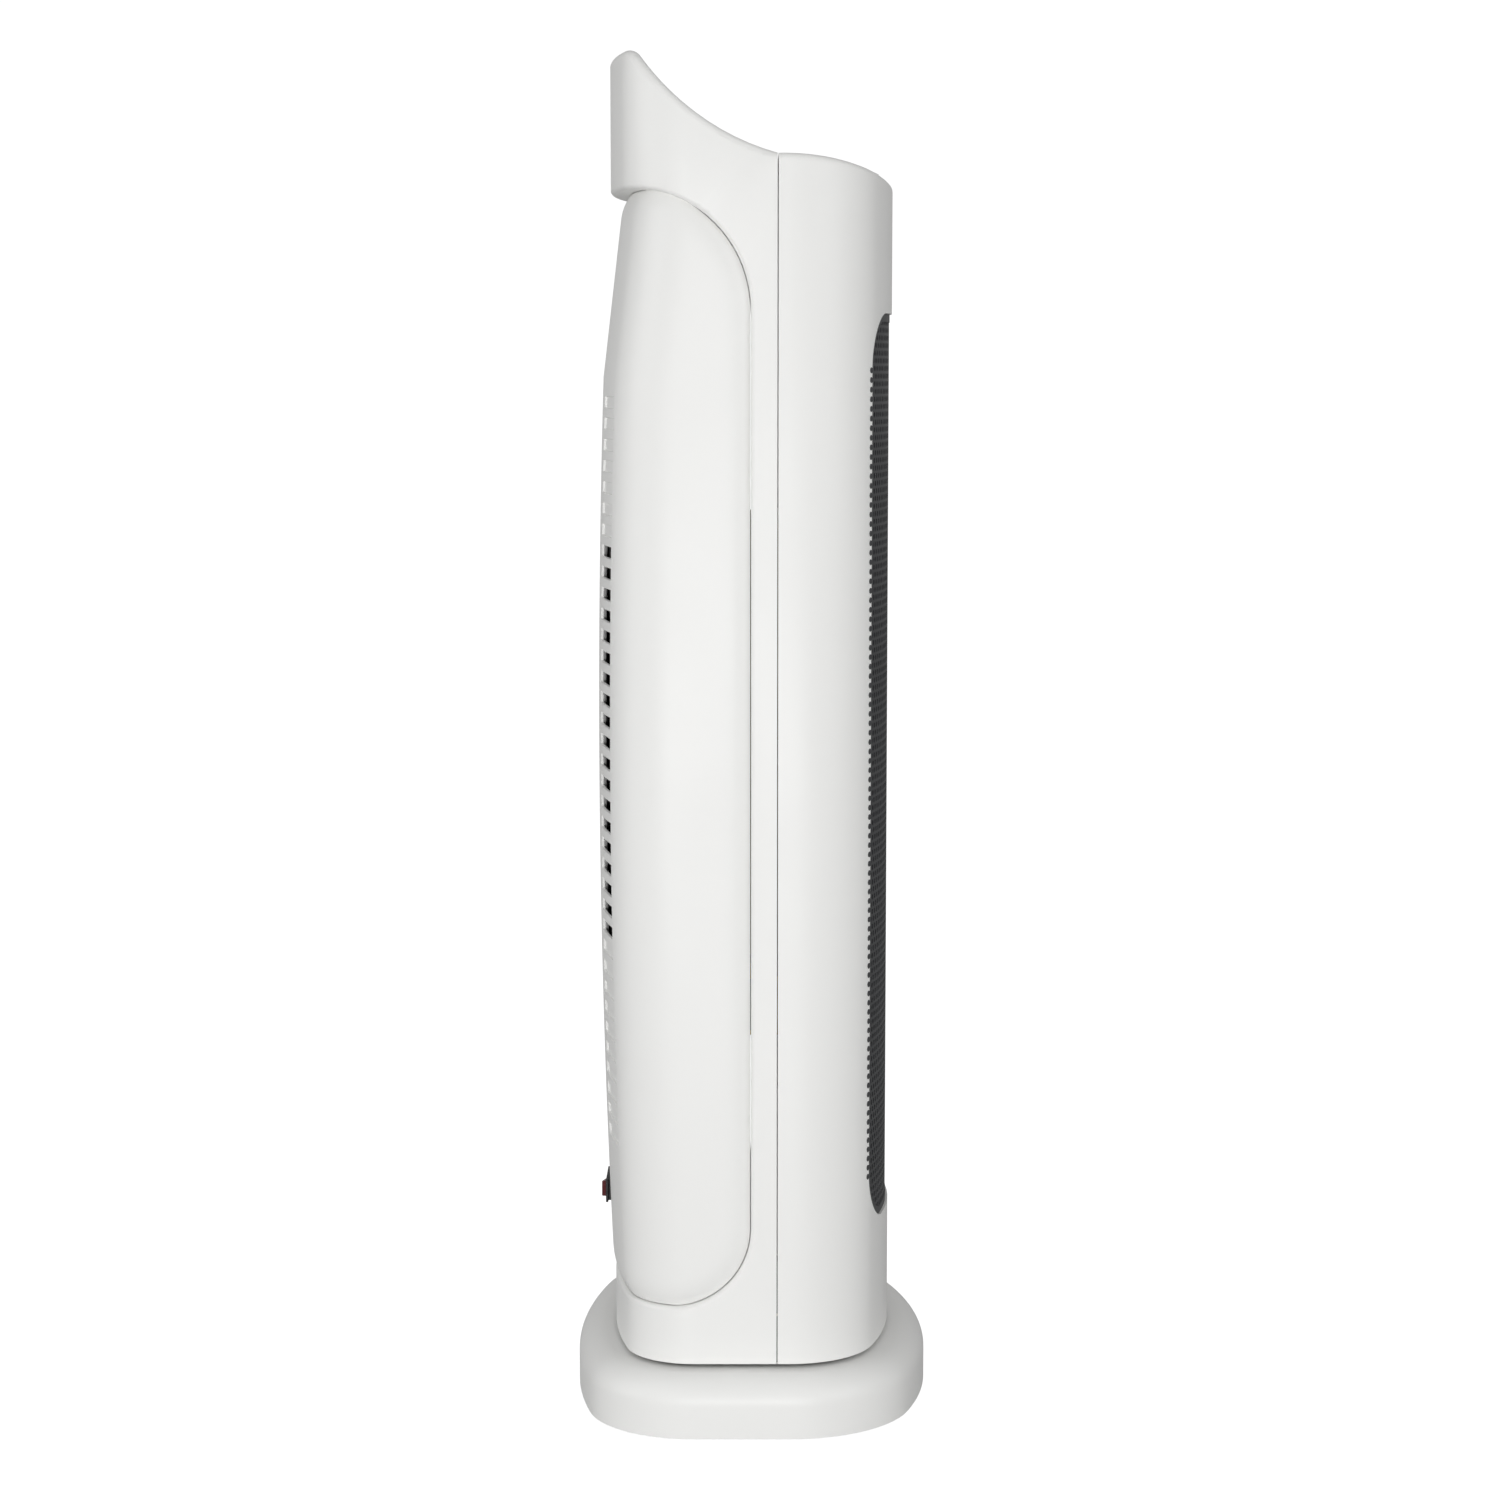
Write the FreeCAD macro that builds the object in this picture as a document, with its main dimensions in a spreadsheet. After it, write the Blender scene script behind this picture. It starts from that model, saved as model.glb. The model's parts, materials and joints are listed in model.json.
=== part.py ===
import FreeCAD, Part
import math
import os
import re
from types import SimpleNamespace

from FreeCAD import Placement, Rotation, Vector
from fcgear import fcgear, involute

# A free-standing oscillating ceramic tower heater, in millimetres.
# The origin is on the floor, on the swivel axis. +Z is up, the outlet grille
# faces -Y, and the heater is the same on both sides of the plane X = 0.

SIZES = {
    # tower outline, seen from above
    "tower_half": 80.0, "front_face": 61.5, "rear_face": 60.0,
    "front_arc": 170.0, "front_corner": 38.0, "rear_arc": 240.0, "rear_corner": 30.0,
    # tower outline, seen from the side
    "tower_floor": 28.7, "tower_top": 580.0, "peak_back": 50.3, "peak_arc": 6.5,
    "scoop_arc": 100.0, "dome_arc": 114.0, "dome_crest": 14.0, "dome_drop": 42.8,
    "parting": 11.5, "parting_gap": 0.4, "edge_round": 3.0, "wall": 2.4,
    # clearances
    "fit_gap": 0.3, "run_gap": 0.06, "screw_gap": 0.05,
    # recess for the rear cover, seen from the side
    "recess_front": 0.4, "recess_drop": 56.5, "recess_foot": 53.0,
    "recess_top_arc": 50.0, "recess_foot_arc": 34.0, "ledge_depth": 14.0, "rim_round": 2.0,
    # rear cover
    "cover_inset": 0.8, "cover_wall": 2.2, "cover_foot_y": 61.3, "cover_kink_y": 64.0,
    "cover_head_y": 54.9, "kink_drop": 134.0, "cover_bulge": 4.0,
    "slot_pitch": 9.0, "slot_tall": 5.2, "slot_half": 57.0, "slot_inner": 31.0,
    "slot_first": 210.6,
    "slot_count": 19, "slot_blind_up": 7, "slot_blind_down": 10, "slot_blind_deep": 0.9,
    "slot_root": 40.0, "screen_half": 56.0, "screen_thick": 1.0,
    # outlet grille
    "grille_half": 58.0, "grille_foot": 83.0, "grille_drop": 107.0, "grille_corner": 22.0,
    "grille_inset": 1.0, "grille_sheet": 1.2, "grille_rim": 3.0, "grille_deep": 3.8,
    # base
    "base_flare": 16.5, "base_lift": 1.2, "base_top": 27.0, "base_shoulder": 12.0,
    "base_wall": 2.5, "base_roof": 2.4, "plate_thick": 2.5,
    "foot_radius": 9.0, "foot_sink": 0.8, "foot_x": 68.0, "foot_rear": 38.0,
    "foot_front_x": 46.0, "foot_front": 55.0,
    "gland_radius": 5.2, "gland_bore": 3.6, "gland_z": 10.0, "gland_long": 8.0,
    "gland_flange": 6.2, "gland_flange_thick": 1.7, "gland_x": 45.0, "gland_set": 1.3,
    "gland_proud": 0.5,
    # swivel and its gear drive
    "hub_radius": 30.0, "hub_wall": 6.0, "hub_foot": 20.5, "floor_thick": 3.0,
    "ring_wide": 14.0, "ring_gap": 0.05,
    "gear_module": 1.5, "gear_teeth": 48, "pinion_teeth": 12, "mesh_gap": 0.15,
    "gear_foot": 18.5, "gear_head": 24.3, "gear_screw_inset": 3.0,
    "swing_can_radius": 21.0, "swing_can_top": 15.8, "swing_shaft": 2.5, "swing_shaft_deep": 6.0,
    "swing_nose": 5.0, "swing_nose_tall": 2.2, "swing_ear": 3.5,
    # tip-over switch
    "tip_x": 54.0, "tip_long": 20.0, "tip_wide": 11.0, "tip_top": 17.0, "tip_cell_radius": 3.8,
    "tip_cell_foot": 4.8, "tip_cell_head": 12.5, "tip_pin": 2.4, "tip_pin_gap": 0.3,
    "tip_flange": 3.4, "tip_flange_foot": 8.2, "tip_flange_thick": 1.5, "tip_pin_long": 11.6,
    # screws: shank radius, head radius, head height
    "screw_shank": 1.5, "screw_head": 3.0, "screw_head_tall": 1.6,
    "plate_screw_long": 12.0, "boss_radius": 4.5,
    "shell_screw_long": 20.0, "ear_half": 5.0, "ear_deep": 11.0, "ear_thick": 6.0,
    "ear_set": 3.0, "boss_deep": 17.0, "ear_low": 110.0, "ear_mid": 290.0, "ear_high": 470.0,
    "post_tall": 14.0, "post_half": 5.5, "post_y": 20.0,
    # decks, scroll and fan
    "deck_low": 196.0, "deck_high": 384.0, "deck_thick": 2.4, "deck_front": 40.0,
    "deck_tail_half": 48.0, "deck_tail": 52.0,
    "fan_y": 22.0, "fan_radius": 29.0, "fan_gap": 3.0, "fan_disc": 2.0, "blade_count": 24,
    "blade_thick": 1.0, "blade_deep": 6.5, "blade_arc": 9.0, "blade_lean": 30.0,
    "shaft_radius": 2.5, "shaft_foot": 150.0, "shaft_top": 392.0, "fan_hub": 7.0,
    "fan_hub_tall": 8.0,
    "scroll_gap": 4.0, "scroll_x": 3.0, "scroll_back": 3.0, "scroll_open": 75.0,
    "scroll_wall": 1.8, "duct_spread": 7.0, "tongue_gap": 2.5, "tongue_turn": 192.0,
    # fan motor
    "stack_half": 30.0, "stack_deep": 56.0, "stack_foot": 163.0, "stack_tall": 20.0,
    "stack_window": 9.0, "core_radius": 15.2, "core_gap": 0.35, "coil_half": 17.0,
    "coil_long": 13.0, "coil_over": 5.0, "bridge_half": 9.0, "bridge_thick": 3.0,
    "bridge_cup": 7.5, "bridge_reach": 8.0, "bolt_x": 24.0, "bush_radius": 8.0,
    "bush_tall": 6.0,
    # ceramic heating element
    "heater_front": 40.0, "heater_back": 22.0, "heater_rim": 4.0,
    "bar_count": 3, "bar_wide": 3.0, "bar_deep": 12.0, "fin_thick": 0.6, "fin_pitch": 5.0,
    "tab_wide": 6.0, "tab_thick": 0.8, "tab_long": 14.0,
    "tab_set": 3.0, "tab_slack": 1.0, "cutout_radius": 8.0,
    "cutout_thick": 6.0,
    # outlet duct
    "duct_wall": 1.6, "duct_front": 51.5,
    # control panel on the dome
    "panel_half": 54.0, "panel_back": 17.0, "panel_front": 54.0, "panel_corner": 6.0,
    "panel_thick": 2.6, "button_radius": 6.5, "button_pitch": 21.0, "button_y": 43.5,
    "button_proud": 0.9, "button_travel": 0.8, "button_gap": 0.3, "button_stem": 2.0,
    "flange_lip": 1.5, "flange_drop": 0.5, "button_flange_thick": 1.2, "window_half": 24.0,
    "window_deep": 11.0, "window_y": 26.5, "window_thick": 1.4, "board_drop": 9.0,
    "board_thick": 1.6, "board_half": 50.0, "board_deep": 35.0, "tact_half": 3.0,
    "tact_tall": 3.2, "display_half": 20.0, "display_deep": 9.0, "display_tall": 5.4,
    # main rocker switch on the rear
    "rocker_z": 86.5, "rocker_tall": 7.0, "rocker_long": 19.0, "rocker_deep": 8.0,
    "rocker_proud": 2.4, "rocker_tilt": 9.0, "rocker_pivot": 3.5, "bezel_long": 25.0,
    "bezel_tall": 10.2, "bezel_proud": 1.0, "switch_long": 21.5, "switch_tall": 9.2,
    "switch_deep": 20.0, "rocker_gap": 0.4, "rocker_end": 0.6, "rocker_heel": 2.5,
    "rocker_belly": 3.5, "rocker_valley": 2.0,
}

# Sizes that follow another size: the first, plus or minus the last.
DERIVED = {
    "dome_top": ("tower_top", -1, "dome_drop"),
    "recess_top": ("tower_top", -1, "recess_drop"),
    "cover_kink": ("tower_top", -1, "kink_drop"),
    "grille_head": ("tower_top", -1, "grille_drop"),
    "hub_bore": ("hub_radius", -1, "hub_wall"),
    "gear_screw_ring": ("hub_radius", -1, "gear_screw_inset"),
    "ring_outer": ("hub_radius", 1, "ring_wide"),
    "scroll_radius": ("fan_radius", 1, "scroll_gap"),
    "duct_half": ("fan_radius", 1, "duct_spread"),
    "blade_inner": ("fan_radius", -1, "blade_deep"),
    "button_flange": ("button_radius", 1, "flange_lip"),
}

document = FreeCAD.newDocument("ceramic_tower_heater")
sheet = document.addObject("Spreadsheet::Sheet", "sizes")
for row, (alias, value) in enumerate(SIZES.items(), start=1):
    sheet.set(f"A{row}", alias)
    sheet.set(f"B{row}", str(value))
    sheet.setAlias(f"B{row}", alias)
document.recompute()
s = SimpleNamespace(**{alias: float(sheet.get(alias)) for alias in SIZES})
for alias, (first, way, last) in DERIVED.items():
    setattr(s, alias, getattr(s, first) + way * getattr(s, last))

WORD = re.compile(r"[a-z]+[a-z0-9_]*")
X_AXIS, Y_AXIS, Z_AXIS = Vector(1, 0, 0), Vector(0, 1, 0), Vector(0, 0, 1)
SUBPARTS = {}        # finished sub-parts, by node name


def bind(item, path, text):
    """Tie a property to the sheet; bare aliases in the text become cell names."""
    def cell(word):
        alias = word.group(0)
        if alias in DERIVED:
            first, way, last = DERIVED[alias]
            return f"(sizes.{first} + ({way}) * sizes.{last})"
        return "sizes." + alias if alias in SIZES else alias
    item.setExpression(path, WORD.sub(cell, str(text)))


def place(item, at, turn=None):
    if turn:
        item.Placement = Placement(Vector(), Rotation(*turn))
    for axis, text in zip("xyz", at):
        bind(item, "Placement.Base." + axis, text)


def box(size, at, name="block"):
    item = document.addObject("Part::Box", name)
    for side, text in zip(("Length", "Width", "Height"), size):
        bind(item, side, text)
    place(item, at)
    return item


def rod(radius, height, at, turn=None, name="rod"):
    item = document.addObject("Part::Cylinder", name)
    bind(item, "Radius", radius)
    bind(item, "Height", height)
    place(item, at, turn)
    return item


def fuse(*items):
    item = document.addObject("Part::MultiFuse", "joined")
    item.Shapes = list(items)
    return item


def group(items):
    item = document.addObject("Part::Compound", "set")
    item.Links = list(items)
    return item


def cut(base, *tools):
    item = document.addObject("Part::Cut", "trimmed")
    item.Base = base
    item.Tool = tools[0] if len(tools) == 1 else fuse(*tools)
    return item


def common(first, second):
    item = document.addObject("Part::Common", "overlap")
    item.Base = first
    item.Tool = second
    return item


def subpart(name, item):
    """Name the finished sub-part: its label is the name of its node."""
    item.Label = name
    SUBPARTS[name] = item
    return item


def arc(centre, radius, first, last):
    """Arc from angle first to angle last, both in radians, counter-clockwise."""
    return Part.ArcOfCircle(Part.Circle(centre, Z_AXIS, radius), first, last)


def line(first, last):
    return Part.LineSegment(first, last)


def sketch_in(body, role, outline, lift=None):
    """Sketch of the outline on one of the body's own origin planes."""
    sketch = body.newObject("Sketcher::SketchObject", "sketch")
    plane = [item for item in body.Origin.OriginFeatures if item.Role == role][0]
    sketch.AttachmentSupport = (plane, [""])
    sketch.MapMode = "FlatFace"
    for piece in outline:
        sketch.addGeometry(piece)
    if lift:
        bind(sketch, "AttachmentOffset.Base.z", lift)
    return sketch


def pad_in(body, role, outline, length, lift=None, both_ways=False):
    pad = body.newObject("PartDesign::Pad", "pad")
    pad.Profile = sketch_in(body, role, outline, lift)
    if both_ways:
        pad.SideType = "Symmetric"
    bind(pad, "Length", length)
    return pad


def padded(role, outline, length, lift=None, both_ways=False):
    body = document.addObject("PartDesign::Body", "form")
    pad_in(body, role, outline, length, lift, both_ways)
    return body


def edges_where(shape, test):
    return [f"Edge{i}" for i, edge in enumerate(shape.Edges, start=1) if test(edge)]


def rounded(item, radius, test):
    """Round the edges of a finished form that pass the test."""
    document.recompute()
    picked = [i for i, edge in enumerate(item.Shape.Edges, start=1) if test(edge)]
    result = document.addObject("Part::Fillet", "rounded")
    result.Base = item
    result.Edges = [(i, radius, radius) for i in picked]
    return result


# ---------------------------------------------------------------- outlines

def tower_plan(grow, rear_face=None):
    """Tower outline from above: two long arcs, four corner arcs, two sides."""
    rear_face = s.rear_face if rear_face is None else rear_face
    half = s.tower_half + grow
    ends = []
    for face, big, small, way in ((rear_face, s.rear_arc, s.rear_corner, 1),
                                  (s.front_face, s.front_arc, s.front_corner, -1)):
        centre_y = way * (face - big)
        drop = math.sqrt((big - small) ** 2 - (half - grow - small) ** 2)
        corner = Vector(half - grow - small, centre_y + way * drop, 0)
        lean = math.atan2(drop, corner.x)
        ends.append((centre_y, big + grow, corner, small + grow, lean))
    (rear_y, rear_big, rear_mid, rear_small, rear_lean) = ends[0]
    (front_y, front_big, front_mid, front_small, front_lean) = ends[1]
    pi = math.pi
    return [
        arc(Vector(0, rear_y, 0), rear_big, rear_lean, pi - rear_lean),
        arc(Vector(-rear_mid.x, rear_mid.y, 0), rear_small, pi - rear_lean, pi),
        line(Vector(-half, rear_mid.y, 0), Vector(-half, front_mid.y, 0)),
        arc(Vector(-front_mid.x, front_mid.y, 0), front_small, pi, pi + front_lean),
        arc(Vector(0, front_y, 0), front_big, pi + front_lean, 2 * pi - front_lean),
        arc(front_mid, front_small, 2 * pi - front_lean, 2 * pi),
        line(Vector(half, front_mid.y, 0), Vector(half, rear_mid.y, 0)),
        arc(rear_mid, rear_small, 0, rear_lean),
    ]


def meeting_point(first, first_radius, second, second_radius):
    """Where two circles in the side view cross, on the left of first to second."""
    span = (second - first).Length
    along = (span ** 2 + first_radius ** 2 - second_radius ** 2) / (2 * span)
    off = math.sqrt(first_radius ** 2 - along ** 2)
    ahead = (second - first).normalize()
    return first + ahead * along + Vector(-ahead.y, ahead.x, 0) * off


def angle_to(centre, point):
    return math.atan2(point.y - centre.y, point.x - centre.x)


DOME = Vector(-s.dome_crest, s.dome_top - s.dome_arc, 0)


def dome_height(y, sink=0.0):
    return DOME.y + math.sqrt((s.dome_arc - sink) ** 2 - (y - DOME.x) ** 2)


def tower_side(shrink):
    """Side view (Y across, Z up): dome in front, scoop, then the peak at the rear."""
    seam = Vector(-s.parting, dome_height(-s.parting), 0)
    peak = Vector(s.peak_back, s.tower_top - s.peak_arc, 0)
    scoop = meeting_point(seam, s.scoop_arc, peak, s.scoop_arc + s.peak_arc)
    scoop_radius = s.scoop_arc + shrink
    peak_radius = s.peak_arc - shrink
    dome_radius = s.dome_arc - shrink
    touch = scoop + (peak - scoop).normalize() * scoop_radius
    seam = meeting_point(scoop, scoop_radius, DOME, dome_radius)
    lean = angle_to(scoop, touch)
    out = s.rear_face + s.base_flare
    floor = s.tower_floor - (1 if shrink else 0)
    front = Vector(-out, dome_height(-out, shrink), 0)
    top = Vector(peak.x, peak.y + peak_radius, 0)
    corners = [Vector(out, top.y, 0), Vector(out, floor, 0), Vector(-out, floor, 0)]
    return [
        line(top, corners[0]), line(corners[0], corners[1]), line(corners[1], corners[2]),
        line(corners[2], front),
        arc(DOME, dome_radius, angle_to(DOME, seam), angle_to(DOME, front)),
        arc(scoop, scoop_radius, angle_to(scoop, seam), lean),
        arc(peak, peak_radius, math.pi / 2, lean + math.pi),
    ]


def recess_side(grow):
    """Side view of the rear opening: one big arc on top, a smaller one below."""
    front = -s.recess_front - grow
    out = s.rear_face + s.base_flare
    top, foot = s.recess_top + grow, s.recess_foot - grow
    top_mid = Vector(s.recess_top_arc - s.recess_front, s.recess_top - s.recess_top_arc, 0)
    foot_mid = Vector(s.recess_foot_arc - s.recess_front, s.recess_foot + s.recess_foot_arc, 0)
    pi = math.pi
    return [
        line(Vector(out, top, 0), Vector(top_mid.x, top, 0)),
        arc(top_mid, s.recess_top_arc + grow, pi / 2, pi),
        line(Vector(front, top_mid.y, 0), Vector(front, foot_mid.y, 0)),
        arc(foot_mid, s.recess_foot_arc + grow, pi, 1.5 * pi),
        line(Vector(foot_mid.x, foot, 0), Vector(out, foot, 0)),
        line(Vector(out, foot, 0), Vector(out, top, 0)),
    ]


def round_box(left, right, low, high, corner):
    """Rectangle with rounded corners, in sketch coordinates."""
    pi = math.pi
    mids = [Vector(right - corner, high - corner, 0), Vector(left + corner, high - corner, 0),
            Vector(left + corner, low + corner, 0), Vector(right - corner, low + corner, 0)]
    outline = []
    for turn, mid in enumerate(mids):
        outline.append(arc(mid, corner, turn * pi / 2, (turn + 1) * pi / 2))
        after = mids[(turn + 1) % 4]
        out = Vector(math.cos((turn + 1) * pi / 2), math.sin((turn + 1) * pi / 2), 0) * corner
        outline.append(line(mid + out, after + out))
    return outline


def grille_front(grow):
    half = s.grille_half + grow
    return round_box(-half, half, s.grille_foot - grow, s.grille_head + grow,
                     s.grille_corner + grow)


def polygon(points):
    corners = [Vector(x, y, 0) for x, y in points]
    return [line(a, b) for a, b in zip(corners, corners[1:] + corners[:1])]


# ---------------------------------------------------------------- tower shells

def tower_form(shrink):
    plan = padded("XY_Plane", tower_plan(-shrink), "tower_top + 10")
    side = padded("YZ_Plane", tower_side(shrink), "4 * tower_half", both_ways=True)
    return common(plan, side)


def recess_block(grow):
    return padded("YZ_Plane", recess_side(grow), "4 * tower_half", both_ways=True)


def screw_ears():
    """Corners of the tower screws that pull the two shells together."""
    return [(side, name) for side in (1, -1) for name in ("ear_low", "ear_mid", "ear_high")]


def side_block(side, front, back, level):
    """Screw block that grows inwards from the side wall, between two Y values."""
    left = "tower_half - wall / 2 - ear_deep" if side > 0 else "-tower_half + wall / 2"
    return box(("ear_deep", f"{back} - ({front})", "2 * ear_half"),
               (left, front, f"{level} - ear_half"))


def cutting_block(front, back):
    """Block wider and taller than the tower, between two Y values."""
    return box(("4 * tower_half", f"({back}) - ({front})", "2 * tower_top"),
               ("-2 * tower_half", front, "-tower_top / 2"))


REACH = "2 * rear_face"
TOWER = tower_form(0)
HOLLOW = tower_form(s.wall)


def top_rim(edge):
    """True on the outline where the tower's top meets its sides."""
    extent = edge.BoundBox
    straight_across = extent.ZLength < 0.01 and extent.YLength < 0.01
    return extent.ZMin > s.recess_top + 2 and not straight_across


def recess_rim(edge):
    """True on the outline where the rear recess meets the tower's skin."""
    extent = edge.BoundBox
    straight_across = extent.ZLength < 0.01 and extent.YLength < 0.01
    on_skin = extent.ZMin > s.recess_foot - 0.01 and extent.ZMax < s.recess_top + 0.01
    return on_skin and not straight_across


def make_front_shell():
    form = common(TOWER, cutting_block(f"-{REACH}", "-parting - parting_gap / 2"))
    form = rounded(form, s.edge_round, top_rim)
    shell = cut(form, HOLLOW)
    bosses = []
    holes = []
    for side, level in screw_ears():
        bosses.append(side_block(side, "-parting - boss_deep",
                                 "-parting - parting_gap / 2", level))
        holes.append(rod("screw_shank + screw_gap", "shell_screw_long + 1",
                         (f"{side} * (tower_half - wall / 2 - ear_deep / 2)",
                          "-parting + 1", level), (X_AXIS, 90)))
    for side in (1, -1):
        bosses.append(floor_post(side, "-post_y"))
        holes.append(post_hole(side, "-post_y"))
    shell = fuse(shell, common(TOWER, fuse(*bosses)))
    return subpart("front_shell", cut(shell, grille_slab(0), panel_block(0), *holes))


def grille_slab(grow):
    """Block with the grille's outline, reaching forwards through the front wall."""
    return padded("XZ_Plane", grille_front(grow), "front_face", lift="front_face - 20")


def post_x(side):
    return f"{side} * (tower_half - wall / 2 - post_half)"


def floor_post(side, y):
    return box(("2 * post_half", "2 * post_half", "post_tall"),
               (f"{post_x(side)} - post_half", f"{y} - post_half",
                "tower_floor + floor_thick + fit_gap"))


def post_hole(side, y):
    return rod("screw_shank + screw_gap", "post_tall", (post_x(side), y, "tower_floor"))


def panel_block(shrink):
    half, front, back = s.panel_half - shrink, s.panel_front - shrink, s.panel_back + shrink
    outline = round_box(-half, half, -front, -back, s.panel_corner - shrink)
    return padded("XY_Plane", outline, "dome_arc", lift="dome_top - dome_arc / 3")


def make_rear_shell():
    form = common(TOWER, cutting_block("-parting + parting_gap / 2", REACH))
    form = cut(form, recess_block(0))
    form = rounded(form, s.edge_round, top_rim)
    form = rounded(form, s.rim_round, recess_rim)
    deep = padded("XY_Plane", tower_plan(-s.ledge_depth), "tower_top + 10")
    inner = cut(HOLLOW, cut(common(recess_block(s.wall), HOLLOW), deep))
    shell = cut(form, inner)
    ears = []
    holes = []
    for side, level in screw_ears():
        ears.append(side_block(side, "-parting + parting_gap / 2",
                               "-parting + ear_thick", level))
        x = f"{side} * (tower_half - wall / 2 - ear_deep / 2)"
        holes.append(rod("screw_shank + screw_gap", "ear_thick + 2",
                         (x, "-parting + ear_thick + 1", level), (X_AXIS, 90)))
        holes.append(rod("screw_head + fit_gap", "ear_thick",
                         (x, "-parting + ear_set + ear_thick", level), (X_AXIS, 90)))
    shell = fuse(shell, common(TOWER, fuse(*ears)))
    return subpart("rear_shell", cut(shell, *holes))


# ---------------------------------------------------------------- covers and grille

def cover_rear(z):
    """Rearmost Y of the rear cover at a height: a bulge, then a straight slope."""
    if z > s.cover_kink:
        share = (z - s.cover_kink) / (s.recess_top - s.cover_kink)
        return s.cover_kink_y + share * (s.cover_head_y - s.cover_kink_y)
    share = (z - s.recess_foot) / (s.cover_kink - s.recess_foot)
    chord = s.cover_foot_y + share * (s.cover_kink_y - s.cover_foot_y)
    return chord + 4 * s.cover_bulge * share * (1 - share)


def cover_form(inset):
    """Pillow of the rear cover, lofted through outlines at several heights."""
    span = s.cover_kink - s.recess_foot
    low = [s.recess_foot + span * step / 4 for step in range(5)]
    high = [s.cover_kink, s.recess_top + 2]
    lofts = []
    for heights in (low, high):
        loft = document.addObject("Part::Loft", "pillow")
        sections = []
        for z in heights:
            sketch = document.addObject("Sketcher::SketchObject", "outline")
            for piece in tower_plan(-inset, cover_rear(z)):
                sketch.addGeometry(piece)
            sketch.Placement = Placement(Vector(0, 0, z), Rotation())
            sections.append(sketch)
        loft.Sections = sections
        loft.Solid = True
        loft.Ruled = len(heights) == 2
        lofts.append(loft)
    return fuse(*lofts)


def slot_blocks(z):
    """One louvre on each side of the plain band up the middle of the cover."""
    return [box(("slot_half - slot_inner", "rear_face", "slot_tall"),
                (left, "slot_root", f"{z} - slot_tall / 2"))
            for left in ("-slot_half", "slot_inner")]


def make_rear_cover():
    form = common(cover_form(s.cover_inset), recess_block(-s.fit_gap))
    skin = cover_form(s.cover_inset + s.slot_blind_deep)
    shell = cut(form, cover_form(s.cover_inset + s.cover_wall))
    through, blind = [], []
    first = -int(s.slot_blind_down)
    last = int(s.slot_count + s.slot_blind_up)
    for step in range(first, last):
        blocks = slot_blocks(f"(slot_first + {step} * slot_pitch)")
        (through if 0 <= step < int(s.slot_count) else blind).extend(blocks)
    switch_hole = box(("switch_long + 2 * fit_gap", REACH, "switch_tall + 2 * fit_gap"),
                      ("-switch_long / 2 - fit_gap", "slot_root",
                       "rocker_z - switch_tall / 2 - fit_gap"))
    shell = cut(shell, switch_hole, *through)
    return subpart("rear_cover", cut(shell, cut(group(blind), skin)))


def make_inlet_screen():
    """Dust screen behind the open louvres, parallel to the cover's inside."""
    rear = min(cover_rear(s.deck_low), cover_rear(s.deck_high))
    outer = s.rear_arc - s.cover_inset - s.cover_wall - s.fit_gap
    turn = math.degrees(math.asin(s.screen_half / outer))
    outline = curved_wall(Vector(0, rear - s.rear_arc, 0), outer - s.screen_thick, outer,
                          90 - turn, 90 + turn)
    subpart("inlet_screen", padded("XY_Plane", outline,
                                   "deck_high - deck_low - deck_thick - 2 * fit_gap",
                                   lift="deck_low + deck_thick + fit_gap"))


def front_ring(outer, inner):
    """Upright ring about the centre of the tower's long front arc."""
    at = ("0", "front_arc - front_face", "tower_floor")
    return cut(rod(outer, "tower_top - tower_floor", at), rod(inner, "tower_top", at))


def make_front_grille():
    face = "front_arc - grille_inset"
    sheet_ring = front_ring(face, f"{face} - grille_sheet")
    rim_ring = front_ring(face, f"{face} - grille_deep")
    lip_ring = front_ring("front_arc - wall - fit_gap", f"{face} - grille_deep")
    centre = -s.fit_gap - s.grille_rim
    screen = common(grille_slab(-s.fit_gap), sheet_ring)
    rim = common(cut(grille_slab(-s.fit_gap), grille_slab(centre)), rim_ring)
    lip = common(cut(grille_slab(s.grille_rim), grille_slab(centre)), lip_ring)
    lip = common(lip, padded("XY_Plane", tower_plan(-s.wall - s.fit_gap), "tower_top"))
    return subpart("front_grille", fuse(screen, rim, lip))


# ---------------------------------------------------------------- base

def base_outline(shrink):
    return tower_plan(s.base_flare - shrink)


def base_form(shrink, foot, top, shoulder):
    body = document.addObject("PartDesign::Body", "base_form")
    pad = pad_in(body, "XY_Plane", base_outline(shrink), f"{top} - ({foot})", lift=foot)
    document.recompute()
    high = pad.Shape.BoundBox.ZMax
    rim = edges_where(pad.Shape, lambda edge: edge.BoundBox.ZMin > high - 0.01)
    fillet = body.newObject("PartDesign::Fillet", "shoulder")
    fillet.Base = (pad, rim)
    bind(fillet, "Radius", shoulder)
    return body


def base_posts():
    """Screw posts of the base, as X and Y expressions."""
    posts = []
    for side in (1, -1):
        posts.append((f"{side} * (tower_half + 2)", "rear_face / 6"))
        posts.append((f"{side} * (tower_half - 14)", "-front_face + 16"))
        posts.append((f"{side} * (tower_half - 30)", "rear_face - 5"))
    return posts


def foot_places():
    rear = [(f"{side} * foot_x", "foot_rear") for side in (1, -1)]
    return rear + [(f"{side} * foot_front_x", "-foot_front") for side in (1, -1)]


# the base's skin behind the cord gland
GLAND_Y = "(rear_face - rear_arc + sqrt((rear_arc + base_flare) ^ 2 - gland_x ^ 2))"


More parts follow.
